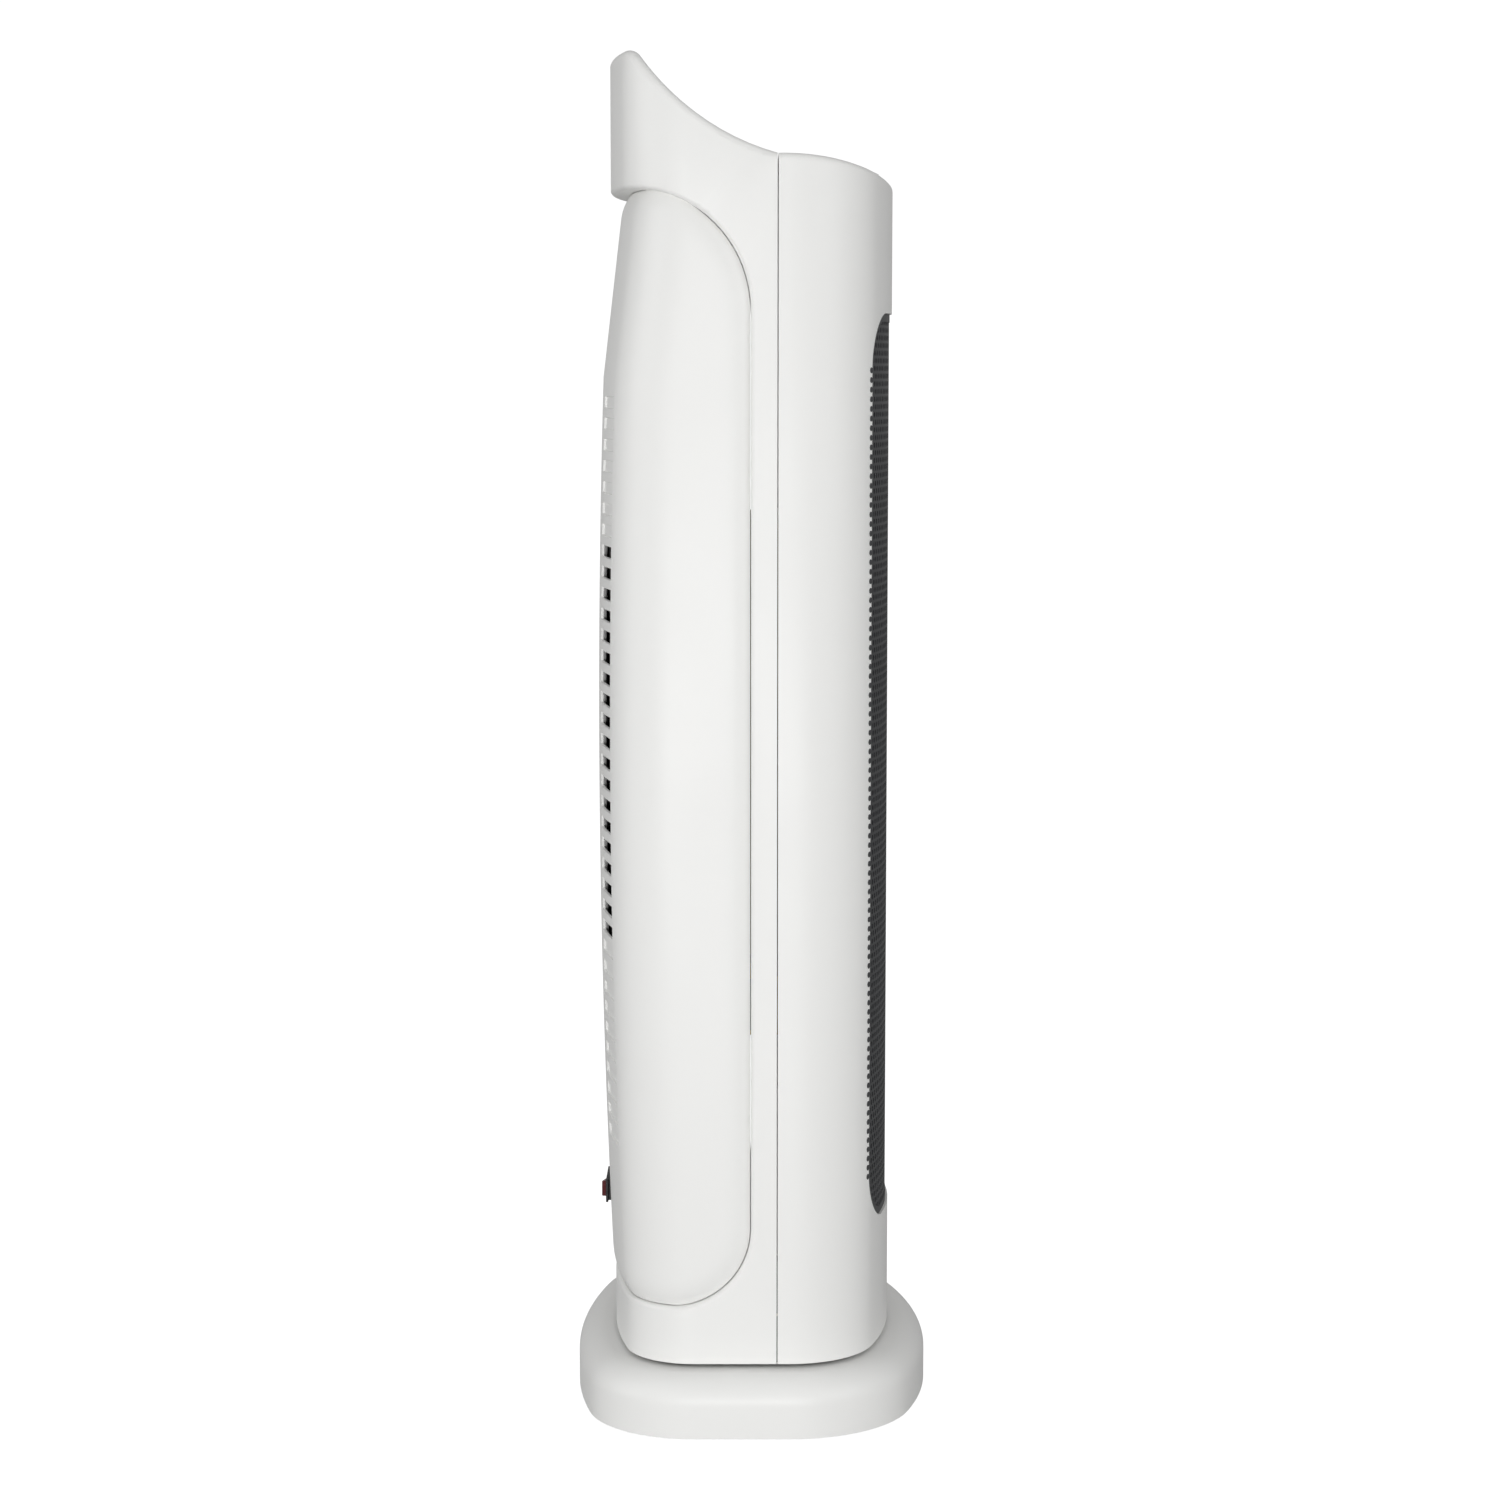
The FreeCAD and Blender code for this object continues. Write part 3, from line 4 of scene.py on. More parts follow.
import bmesh
import bpy
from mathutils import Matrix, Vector


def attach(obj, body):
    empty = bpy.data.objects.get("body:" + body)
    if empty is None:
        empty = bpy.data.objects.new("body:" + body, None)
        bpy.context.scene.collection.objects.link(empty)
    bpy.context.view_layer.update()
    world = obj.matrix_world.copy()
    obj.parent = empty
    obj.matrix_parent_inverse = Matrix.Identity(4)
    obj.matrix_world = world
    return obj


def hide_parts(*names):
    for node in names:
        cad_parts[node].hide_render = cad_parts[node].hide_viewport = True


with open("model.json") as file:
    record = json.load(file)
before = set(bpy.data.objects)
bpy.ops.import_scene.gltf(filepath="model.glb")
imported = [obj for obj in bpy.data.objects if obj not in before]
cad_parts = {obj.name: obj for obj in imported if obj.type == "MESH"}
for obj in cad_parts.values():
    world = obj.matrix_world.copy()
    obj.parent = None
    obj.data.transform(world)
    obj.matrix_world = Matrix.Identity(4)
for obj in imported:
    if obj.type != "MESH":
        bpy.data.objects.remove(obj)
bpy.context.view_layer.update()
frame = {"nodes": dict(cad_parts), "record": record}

MM = 0.001
nodes = frame["nodes"]

# ------------------------------------------------------------------ camera
# A long lens level with the upper half of the heater, looking squarely at one
# side, with the grille to the right and the rear cover to the left.
camera_data = bpy.data.cameras.new("side_camera")
camera_data.sensor_width = 36.0
camera_data.lens = 76.67
camera_data.clip_start = 0.05
camera_data.clip_end = 60.0
camera = bpy.data.objects.new("side_camera", camera_data)
camera.location = (-1.4, 0.0, 0.45)
camera.rotation_euler = (math.radians(90 - 6.82), 0.0, math.radians(-90))
bpy.context.collection.objects.link(camera)
bpy.context.scene.camera = camera


# ------------------------------------------------------------------ floor and light
# A seamless white sweep and large soft lamps, as in a product studio: the light
# comes from the camera's side, so faces that turn away from it fall off to grey.
def linear(hexadecimal):
    """sRGB hex colour, such as F2F2F0, as linear red, green, blue, alpha."""
    channels = [int(hexadecimal[i:i + 2], 16) / 255 for i in (0, 2, 4)]
    return tuple(c / 12.92 if c <= 0.04045 else ((c + 0.055) / 1.055) ** 2.4
                 for c in channels) + (1.0,)


def add(tree, kind, settings=None):
    """Adds a node. A setting is a property, an input's value or what feeds the input:
    a socket, or a node whose first output is meant."""
    node = tree.nodes.new(kind)
    for name, value in (settings or {}).items():
        if isinstance(name, str) and name not in node.inputs:
            setattr(node, name, value)
        elif isinstance(value, bpy.types.Node):
            tree.links.new(value.outputs[0], node.inputs[name])
        elif isinstance(value, bpy.types.NodeSocket):
            tree.links.new(value, node.inputs[name])
        else:
            node.inputs[name].default_value = value
    return node


def new_material(name):
    material = bpy.data.materials.new(name)
    material.use_nodes = True
    material.node_tree.nodes.clear()
    return material, material.node_tree


def link_object(name, mesh):
    thing = bpy.data.objects.new(name, mesh)
    bpy.context.collection.objects.link(thing)
    return thing


sweep_paper, tree = new_material("matt_white_paper_sweep")
paper = add(tree, "ShaderNodeBsdfDiffuse", {"Color": linear("C0C0C0")})
lit_paper = add(tree, "ShaderNodeEmission", {"Color": (1, 1, 1, 1), "Strength": 1.0})
shade = add(tree, "ShaderNodeBsdfDiffuse", {"Color": linear("808080")})
bright = add(tree, "ShaderNodeAddShader", {0: lit_paper, 1: shade})
camera_ray = add(tree, "ShaderNodeLightPath").outputs["Is Camera Ray"]
shown_paper = add(tree, "ShaderNodeMixShader", {0: camera_ray, 1: paper, 2: bright})
add(tree, "ShaderNodeOutputMaterial", {"Surface": shown_paper})
floor_mesh = bpy.data.meshes.new("studio_floor")
reach = 12.0
floor_mesh.from_pydata([(-reach, -reach, 0), (reach, -reach, 0), (reach, reach, 0),
                        (-reach, reach, 0)], [], [(0, 1, 2, 3)])
floor = link_object("studio_floor", floor_mesh)
floor_mesh.materials.append(sweep_paper)

world = bpy.data.worlds.new("studio")
world.use_nodes = True
world.node_tree.nodes.clear()
glow = add(world.node_tree, "ShaderNodeBackground", {"Color": (1, 1, 1, 1), "Strength": 0.36})
white = add(world.node_tree, "ShaderNodeBackground", {"Color": (1, 1, 1, 1), "Strength": 1.05})
camera_ray = add(world.node_tree, "ShaderNodeLightPath").outputs["Is Camera Ray"]
mixed = add(world.node_tree, "ShaderNodeMixShader", {0: camera_ray, 1: glow, 2: white})
add(world.node_tree, "ShaderNodeOutputWorld", {"Surface": mixed})
bpy.context.scene.world = world


def soft_lamp(name, place, target, size, watts):
    lamp = bpy.data.lights.new(name, "AREA")
    lamp.shape = "RECTANGLE"
    lamp.size, lamp.size_y = size
    lamp.energy = watts
    holder = link_object(name, lamp)
    holder.location = place
    holder.rotation_euler = (Vector(target) - Vector(place)).to_track_quat("-Z", "Y").to_euler()


soft_lamp("key_box", (-2.0, 0.1, 0.06), (0, 0, 0.12), (1.6, 0.6), 29)
soft_lamp("front_box", (-1.5, -1.9, 0.9), (0, 0, 0.3), (1.4, 1.4), 10)
soft_lamp("rear_box", (-0.7, 2.3, 0.7), (0, 0, 0.3), (1.6, 1.4), 13)
soft_lamp("top_box", (0.2, 0.0, 2.6), (0, 0, 0), (2.6, 2.6), 3)
bpy.context.scene.view_settings.view_transform = "Standard"
bpy.context.scene.view_settings.look = "None"


# ------------------------------------------------------------------ tower shells
# Front and rear halves of the tower, injection moulded in white ABS with a fine
# spark-eroded texture. They meet in a narrow groove that runs up both sides.
FLOW_PATCH = 60 * MM


def moulded_plastic(name, colour, roughness, grain, depth, specular=0.45, coat=0.0):
    """Moulded plastic: grain is its texture's size and depth its height, in mm."""
    material, tree = new_material(name)
    place = add(tree, "ShaderNodeTexCoord").outputs["Object"]
    texture = add(tree, "ShaderNodeTexNoise",
                  {"Scale": 1 / (grain * MM), "Detail": 2.0, "Roughness": 0.5, "Vector": place})
    flow = add(tree, "ShaderNodeTexNoise",
               {"Scale": 1 / FLOW_PATCH, "Detail": 1.0, "Vector": place})
    shine = add(tree, "ShaderNodeMapRange",
                {"From Min": 0.3, "From Max": 0.7, "To Min": roughness * 0.92,
                 "To Max": roughness * 1.08, "Value": flow.outputs["Fac"]})
    bump = add(tree, "ShaderNodeBump", {"Strength": 0.5, "Distance": depth * MM,
                                        "Height": texture.outputs["Fac"]})
    skin = add(tree, "ShaderNodeBsdfPrincipled",
               {"Base Color": linear(colour), "IOR": 1.52, "Specular IOR Level": specular,
                "Coat Weight": coat, "Coat Roughness": 0.08, "Roughness": shine,
                "Normal": bump})
    add(tree, "ShaderNodeOutputMaterial", {"Surface": skin})
    return material


WELD, SLIVER = 0.002 * MM, 0.001 * MM


def moulding(node, material, edge=0.25, angle=32):
    """Welded, smooth copy of a CAD node with its sharp edges just broken, in mm."""
    source = nodes[node]
    mesh = source.data.copy()
    mesh.name = node + "_moulding"
    work = bmesh.new()
    work.from_mesh(mesh)
    bmesh.ops.remove_doubles(work, verts=work.verts, dist=WELD)
    bmesh.ops.dissolve_degenerate(work, dist=SLIVER, edges=work.edges)
    for face in work.faces:
        face.smooth = True
    for seam in work.edges:
        turned = seam.is_manifold and seam.calc_face_angle(0) > math.radians(angle)
        seam.smooth = not (turned or not seam.is_manifold)
    work.to_mesh(mesh)
    work.free()
    mesh.materials.clear()
    mesh.materials.append(material)
    thing = link_object(node + "_moulding", mesh)
    if edge:
        bevel = thing.modifiers.new("broken_edge", "BEVEL")
        bevel.width = edge * MM
        bevel.segments = 2
        bevel.limit_method = "ANGLE"
        bevel.angle_limit = math.radians(angle)
        bevel.harden_normals = False
    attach(thing, BODY_OF[node])
    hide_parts(node)
    return thing


BODY_OF = {node: body for body, members in frame["record"]["behaviour"]["bodies"].items()
           for node in members}
# White ABS: bright, satin, with a grain so fine that it only softens highlights.
white_abs = moulded_plastic("satin_white_abs", "F3F3F1", 0.42, 0.9, 0.012)
for shell in ("front_shell", "rear_shell"):
    moulding(shell, white_abs)

# ------------------------------------------------------------------ rear cover
# One pillow-shaped moulding in the same white ABS that fills the recess in the
# rear shell. Its edge dips below the shell all round. Two columns of louvres run
# up its rear beside a plain middle band: open over the fan, blind elsewhere.
HALF = 80 * MM
REAR_ARC, REAR_CORNER = 240 * MM, 30 * MM
COVER_FOOT_Y, COVER_KINK_Y, COVER_HEAD_Y = 61.3 * MM, 64.0 * MM, 54.9 * MM
COVER_KINK, COVER_BULGE = 446 * MM, 4 * MM
RECESS_FRONT, RECESS_FOOT, RECESS_HEAD = -0.1 * MM, 53.3 * MM, 523.2 * MM
HEAD_ARC, FOOT_ARC = 49.7 * MM, 33.7 * MM
COVER_WALL, COVER_INSET, COVER_LIP = 2.2 * MM, 0.5 * MM, 0.4 * MM
DIP, DIP_REACH, DIP_POWER = 3.0 * MM, 11 * MM, 2.6
SLOT_PITCH, SLOT_TALL, SLOT_FIRST = 9 * MM, 5.2 * MM, 210.6 * MM
SLOT_OPEN, SLOT_ABOVE, SLOT_BELOW = 19, 7, 10
SLOT_SIDE, SLOT_INNER, SLOT_EASE, SLOT_BLIND = 57 * MM, 31 * MM, 0.35 * MM, 0.9 * MM


def cover_rear(z):
    """Y of the cover's rear at its middle: bowed up to the kink, straight above it."""
    if z > COVER_KINK:
        share = (z - COVER_KINK) / (RECESS_HEAD - COVER_KINK)
        return COVER_KINK_Y + share * (COVER_HEAD_Y - COVER_KINK_Y)
    share = (z - RECESS_FOOT) / (COVER_KINK - RECESS_FOOT)
    chord = COVER_FOOT_Y + share * (COVER_KINK_Y - COVER_FOOT_Y)
    return chord + 4 * COVER_BULGE * share * (1 - share)


def cover_edge(z):
    """Y of the recess outline at a height: straight, with a big arc at each end."""
    for middle, radius, way in ((RECESS_HEAD - HEAD_ARC, HEAD_ARC, 1),
                                (RECESS_FOOT + FOOT_ARC, FOOT_ARC, -1)):
        off = (z - middle) * way
        if off > 0:
            return RECESS_FRONT + radius - math.sqrt(max(radius ** 2 - off ** 2, 0))
    return RECESS_FRONT


def edge_distance(y, z):
    """Distance in the side view from a point on the cover to the recess outline."""
    best = min(y - RECESS_FRONT, RECESS_HEAD - z, z - RECESS_FOOT)
    for middle_z, radius, way in ((RECESS_HEAD - HEAD_ARC, HEAD_ARC, 1),
                                  (RECESS_FOOT + FOOT_ARC, FOOT_ARC, -1)):
        middle_y = RECESS_FRONT + radius
        if (z - middle_z) * way > 0 and y < middle_y:
            best = radius - math.hypot(y - middle_y, z - middle_z)
    return max(best, 0.0)


def slot_depth(z):
    """How far a height lies inside a louvre slot: (share 0 to 1, is it open)."""
    number = round((z - SLOT_FIRST) / SLOT_PITCH)
    if not -SLOT_BELOW <= number < SLOT_OPEN + SLOT_ABOVE:
        return 0.0, False
    off = SLOT_TALL / 2 - abs(z - SLOT_FIRST - number * SLOT_PITCH)
    return min(max(off / SLOT_EASE, 0.0), 1.0), 0 <= number < SLOT_OPEN


END_STEPS, KINK_STEP = 18, 2 * MM


def cover_rows():
    """Heights of the cover's rows: close together at its ends and at each slot's lips."""
    rows = set()
    for step in range(END_STEPS + 1):
        ease = 1 - math.cos(step / END_STEPS * math.pi / 2)
        rows.add(round(RECESS_FOOT + FOOT_ARC * ease, 6))
        rows.add(round(RECESS_HEAD - HEAD_ARC * ease, 6))
    low = SLOT_FIRST - SLOT_BELOW * SLOT_PITCH
    for number in range(SLOT_BELOW + SLOT_OPEN + SLOT_ABOVE):
        middle = low + number * SLOT_PITCH
        for off in (-SLOT_TALL / 2, -SLOT_TALL / 2 + SLOT_EASE, SLOT_TALL / 2 - SLOT_EASE,
                    SLOT_TALL / 2):
            rows.add(round(middle + off, 6))
    rows.update(round(COVER_KINK + step * KINK_STEP, 6) for step in range(-2, 3))
    return sorted(rows)


def plan_point(share, z):
    """Point on the cover's outline: share 0 is the front edge, 1 the middle of the rear."""
    centre_y = cover_rear(z) - REAR_ARC
    mid_x = HALF - REAR_CORNER
    mid_y = centre_y + math.sqrt((REAR_ARC - REAR_CORNER) ** 2 - mid_x ** 2)
    lean = math.atan2(mid_y - centre_y, mid_x)
    front = cover_edge(z)
    side = max(mid_y - front, 0.0)
    corner_top = mid_y + REAR_CORNER * math.sin(lean)
    skipped = math.asin(min(max(front - mid_y, 0.0) / REAR_CORNER, math.sin(lean)))
    arc_start = lean
    if front > corner_top:
        arc_start = math.asin(min((front - centre_y) / REAR_ARC, 1.0))
    corner = REAR_CORNER * (lean - skipped)
    back = REAR_ARC * (math.pi / 2 - arc_start)
    travel = share * (side + corner + back)
    if travel < side:
        return Vector((HALF, front + travel, z)), Vector((1, 0, 0))
    travel -= side
    if travel < corner:
        turn = skipped + travel / REAR_CORNER
        way = Vector((math.cos(turn), math.sin(turn), 0))
        return Vector((mid_x, mid_y, z)) + way * REAR_CORNER, way
    turn = arc_start + (travel - corner) / REAR_ARC
    way = Vector((math.cos(turn), math.sin(turn), 0))
    return Vector((0, centre_y, z)) + way * REAR_ARC, way


def share_at(x, z):
    """Share of the half outline at which the cover is x from its middle plane."""
    low, high = 0.0, 1.0
    for _ in range(24):
        middle = (low + high) / 2
        low, high = (middle, high) if plan_point(middle, z)[0].x > x else (low, middle)
    return low


EDGE_STEPS, SIDE_STEPS, SLOT_STEPS, BAND_STEPS = 14, 8, 8, 8
EDGE_SHARE, EDGE_CROWDING, SLOT_LIP = 0.42, 1.7, 0.006
LEAST_OUTER, LEAST_SLOT = 0.3, 0.1


def cover_columns(z):
    """Shares of the half outline: close at the front edge and at both ends of a louvre."""
    outer = max(share_at(SLOT_SIDE, z), LEAST_OUTER)
    inner = max(share_at(SLOT_INNER, z), outer + LEAST_SLOT)
    first = min(EDGE_SHARE, 0.6 * outer)
    shares = [(step / EDGE_STEPS) ** EDGE_CROWDING * first for step in range(EDGE_STEPS)]
    for start, end, steps in ((first, outer - SLOT_LIP, SIDE_STEPS),
                              (outer, inner - SLOT_LIP, SLOT_STEPS),
                              (inner, 1.0, BAND_STEPS)):
        shares += [start + (end - start) * step / steps for step in range(steps + 1)]
    return shares


# The columns of the mesh from FIRST_CUT to LAST_CUT are those of the louvres.
FIRST_CUT = EDGE_STEPS + SIDE_STEPS + 1
LAST_CUT = FIRST_CUT + SLOT_STEPS
rows = cover_rows()
points, faces = [], []
for z in rows:
    inside, _ = slot_depth(z)
    half_row = []
    for column, share in enumerate(cover_columns(z)):
        point, outward = plan_point(share, z)
        gap = edge_distance(point.y, z)
        fall = max(1 - gap / DIP_REACH, 0.0)
        sink = COVER_INSET + DIP * fall ** DIP_POWER
        if FIRST_CUT <= column <= LAST_CUT:
            sink += SLOT_BLIND * inside
        half_row.append(point - outward * sink)
    full = half_row + [Vector((-p.x, p.y, p.z)) for p in reversed(half_row[:-1])]
    points.append(full)
width = len(points[0])
flat = [p for row in points for p in row]
for r in range(len(rows) - 1):
    inside, is_open = slot_depth((rows[r] + rows[r + 1]) / 2)
    for c in range(width - 1):
        near = min(c, width - 2 - c)
        if is_open and inside >= 1.0 and FIRST_CUT <= near < LAST_CUT:
            continue
        a = r * width + c
        faces.append((a, a + 1, a + width + 1, a + width))
cover_mesh = bpy.data.meshes.new("louvred_rear_cover")
cover_mesh.from_pydata([tuple(p) for p in flat], [], faces)
work = bmesh.new()
work.from_mesh(cover_mesh)
bmesh.ops.remove_doubles(work, verts=work.verts, dist=0.02 * MM)
bmesh.ops.recalc_face_normals(work, faces=work.faces)
if sum(f.normal.y * f.calc_area() for f in work.faces) < 0:
    bmesh.ops.reverse_faces(work, faces=work.faces)
for face in work.faces:
    face.smooth = True
for seam in work.edges:
    seam.smooth = not (seam.is_manifold and seam.calc_face_angle(0) > math.radians(35))
work.to_mesh(cover_mesh)
work.free()
cover_mesh.materials.append(white_abs)
rear_cover = link_object("louvred_rear_cover", cover_mesh)
walls = rear_cover.modifiers.new("wall", "SOLIDIFY")
walls.thickness = COVER_WALL
walls.offset = -1
lips = rear_cover.modifiers.new("soft_lips", "BEVEL")
lips.width = COVER_LIP
lips.segments = 2
lips.limit_method = "ANGLE"
lips.angle_limit = math.radians(50)
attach(rear_cover, "tower")
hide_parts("rear_cover")

# ------------------------------------------------------------------ outlet grille
# Dark grey moulded grille set 1 mm back in the front opening. Its sheet is pierced
# all over by small round holes in staggered rows, inside a plain rim.
SHELL_FACE_Y, SHELL_ARC, SHELL_CORNER = -61.5 * MM, 170 * MM, 38 * MM
GRILLE_SET_BACK = 1.0 * MM
GRILLE_ARC, GRILLE_CENTRE_Y = SHELL_ARC - GRILLE_SET_BACK, SHELL_FACE_Y + SHELL_ARC
GRILLE_HALF, GRILLE_FOOT, GRILLE_HEAD = 57.7 * MM, 83.3 * MM, 472.7 * MM
GRILLE_CORNER, GRILLE_RIM, GRILLE_SHEET = 21.7 * MM, 3.2 * MM, 1.2 * MM
HOLE_PITCH, HOLE_RADIUS, HOLE_SIDES = 3.7 * MM, 1.25 * MM, 9
SHEET_LAP, SHEET_SINK, TILE_WELD = 0.4 * MM, 0.25 * MM, 0.02 * MM
# How far past the rounded outline the middle of a tile may lie, in pitches.
TILE_LIMIT = 0.45
GRILLE_RIM_DEEP, FLANGE_WIDE, FLANGE_SINK = 3.8 * MM, 2.2 * MM, 2.0 * MM

# Dark grey polypropylene: satin, a little lighter where its grain catches light.
grille_grey = moulded_plastic("satin_dark_grey_polypropylene", "3A3B3D", 0.46, 0.7, 0.01)


def bend_to_arc(point, sink=0.0):
    """Flat X, Z to the upright arc of the grille."""
    turn = point[0] / GRILLE_ARC
    reach = GRILLE_ARC - sink
    return (reach * math.sin(turn), GRILLE_CENTRE_Y - reach * math.cos(turn), point[1])


def grille_outline(inset, corner_steps=10):
    """Rounded rectangle, flat, going round once."""
    half, low, high = GRILLE_HALF - inset, GRILLE_FOOT + inset, GRILLE_HEAD - inset
    corner = GRILLE_CORNER - inset
    outline = []
    centres = ((half - corner, high - corner), (corner - half, high - corner),
               (corner - half, low + corner), (half - corner, low + corner))
    for turn, (x, z) in enumerate(centres):
        for step in range(corner_steps + 1):
            angle = math.radians(90) * (turn + step / corner_steps)
            outline.append((x + corner * math.cos(angle), z + corner * math.sin(angle)))
        ahead = ((-1, 0), (0, -1), (1, 0), (0, 1))[turn]
        run = 2 * (half - corner) if ahead[0] else high - low - 2 * corner
        pieces = 16 if ahead[0] else 4
        last = outline[-1]
        for step in range(1, pieces):
            outline.append((last[0] + ahead[0] * run * step / pieces,
                            last[1] + ahead[1] * run * step / pieces))
    return outline


def grille_rim():
    """Closed ring that frames the pierced sheet, with a flange behind the shell."""
    loops = [(0.0, 0.0), (GRILLE_RIM, 0.0), (GRILLE_RIM, GRILLE_RIM_DEEP),
             (-FLANGE_WIDE, GRILLE_RIM_DEEP), (-FLANGE_WIDE, FLANGE_SINK), (0.0, FLANGE_SINK)]
    points, faces = [], []
    for inset, sink in loops:
        points += [bend_to_arc(p, sink) for p in grille_outline(inset)]
    count = len(points) // len(loops)
    for ring in range(len(loops)):
        this, after = ring * count, (ring + 1) % len(loops) * count
        for i in range(count):
            j = (i + 1) % count
            faces.append((this + i, this + j, after + j, after + i))
    mesh = bpy.data.meshes.new("grille_rim")
    mesh.from_pydata(points, [], faces)
    work = bmesh.new()
    work.from_mesh(mesh)
    bmesh.ops.remove_doubles(work, verts=work.verts, dist=WELD)
    bmesh.ops.recalc_face_normals(work, faces=work.faces)
    work.to_mesh(mesh)
    work.free()
    return mesh


def hole_tile():
    """One six-sided tile of the sheet with a round hole, standing in the XZ plane."""
    point = HOLE_PITCH / math.sqrt(3)
    around = [(point * math.cos(math.radians(60 * k + 30)),
               point * math.sin(math.radians(60 * k + 30))) for k in range(6)]
    hole = [(HOLE_RADIUS * math.cos(math.tau * k / HOLE_SIDES),
             HOLE_RADIUS * math.sin(math.tau * k / HOLE_SIDES)) for k in range(HOLE_SIDES)]
    work = bmesh.new()
    rings = []
    for y in (0.0, GRILLE_SHEET):
        rings.append(([work.verts.new((x, y, z)) for x, z in around],
                      [work.verts.new((x, y, z)) for x, z in hole]))
    for outer, inner in rings:
        edges = [work.edges.new((ring[i], ring[(i + 1) % len(ring)]))
                 for ring in (outer, inner) for i in range(len(ring))]
        bmesh.ops.triangle_fill(work, edges=edges, use_beauty=True)
    (_, front), (_, back) = rings
    for i in range(HOLE_SIDES):
        j = (i + 1) % HOLE_SIDES
        work.faces.new((front[i], front[j], back[j], back[i]))
    bmesh.ops.recalc_face_normals(work, faces=work.faces)
    for face in work.faces:
        middle = face.calc_center_median()
        outward = Vector((-middle.x, 0, -middle.z))
        if abs(face.normal.y) > 0.5:
            outward = Vector((0, middle.y - GRILLE_SHEET / 2, 0))
        if face.normal.dot(outward) < 0:
            face.normal_flip()
    mesh = bpy.data.meshes.new("hole_tile")
    work.to_mesh(mesh)
    work.free()
    return link_object("hole_tile", mesh)


def pierced_sheet_tree(tile):
    """Staggered tiles inside the rounded outline, then bent round the arc."""
    tree = bpy.data.node_groups.new("pierced_sheet", "GeometryNodeTree")
    tree.interface.new_socket("Geometry", in_out="OUTPUT", socket_type="NodeSocketGeometry")
    for name, kind in (("Columns", "Float"), ("Count", "Int"), ("First", "Vector"),
                       ("Step", "Vector"), ("Middle", "Vector"), ("Core", "Vector"),
                       ("Limit", "Float"), ("Arc", "Float"), ("Arc Centre", "Vector")):
        tree.interface.new_socket(name, in_out="INPUT", socket_type="NodeSocket" + kind)
    start = add(tree, "NodeGroupInput").outputs
    # A point's row and column come from its number; every other row moves half a step.
    points = add(tree, "GeometryNodePoints", {"Count": start["Count"]})
    index = add(tree, "GeometryNodeInputIndex")
    column = add(tree, "ShaderNodeMath",
                 {"operation": "MODULO", 0: index, 1: start["Columns"]})
    centred = add(tree, "ShaderNodeMath", {"operation": "ADD", 0: index, 1: 0.5})
    rows = add(tree, "ShaderNodeMath", {"operation": "DIVIDE", 0: centred, 1: start["Columns"]})
    row = add(tree, "ShaderNodeMath", {"operation": "FLOOR", 0: rows})
    odd = add(tree, "ShaderNodeMath", {"operation": "MODULO", 0: row, 1: 2.0})
    across = add(tree, "ShaderNodeMath", {"operation": "MULTIPLY_ADD", 0: odd, 1: 0.5, 2: column})
    lattice = add(tree, "ShaderNodeCombineXYZ", {"X": across, "Z": row})
    place = add(tree, "ShaderNodeVectorMath",
                {"operation": "MULTIPLY_ADD", 0: lattice, 1: start["Step"], 2: start["First"]})
    spread = add(tree, "GeometryNodeSetPosition", {"Geometry": points, "Position": place})
    # Tiles past the rounded outline go: its corners are arcs round the core's corners.
    off = add(tree, "ShaderNodeVectorMath",
              {"operation": "SUBTRACT", 0: place, 1: start["Middle"]})
    size = add(tree, "ShaderNodeVectorMath", {"operation": "ABSOLUTE", 0: off})
    past = add(tree, "ShaderNodeVectorMath", {"operation": "SUBTRACT", 0: size, 1: start["Core"]})
    over = add(tree, "ShaderNodeVectorMath", {"operation": "MAXIMUM", 0: past, 1: (0, 0, 0)})
    far = add(tree, "ShaderNodeVectorMath", {"operation": "LENGTH", 0: over}).outputs["Value"]
    outside = add(tree, "ShaderNodeMath", {"operation": "GREATER_THAN", 0: far, 1: start["Limit"]})
    kept = add(tree, "GeometryNodeDeleteGeometry",
               {"domain": "POINT", "Geometry": spread, "Selection": outside})
    pattern = add(tree, "GeometryNodeObjectInfo", {"Object": tile}).outputs["Geometry"]
    tiles = add(tree, "GeometryNodeInstanceOnPoints", {"Points": kept, "Instance": pattern})
    real = add(tree, "GeometryNodeRealizeInstances", {"Geometry": tiles})
    sheet = add(tree, "GeometryNodeMergeByDistance", {"Geometry": real, "Distance": TILE_WELD})
    # Each point turns about the arc's centre by its distance along the flat sheet.
    here = add(tree, "ShaderNodeSeparateXYZ",
               {"Vector": add(tree, "GeometryNodeInputPosition")}).outputs
    turn = add(tree, "ShaderNodeMath", {"operation": "DIVIDE", 0: here["X"], 1: start["Arc"]})
    upright = add(tree, "ShaderNodeCombineXYZ", {"Y": here["Y"], "Z": here["Z"]})
    bent = add(tree, "ShaderNodeVectorRotate",
               {"rotation_type": "Z_AXIS", "Vector": upright, "Center": start["Arc Centre"],
                "Angle": turn})
    curved = add(tree, "GeometryNodeSetPosition", {"Geometry": sheet, "Position": bent})
    coloured = add(tree, "GeometryNodeSetMaterial",
                   {"Geometry": curved, "Material": grille_grey})
    add(tree, "NodeGroupOutput", {"Geometry": coloured})
    return tree


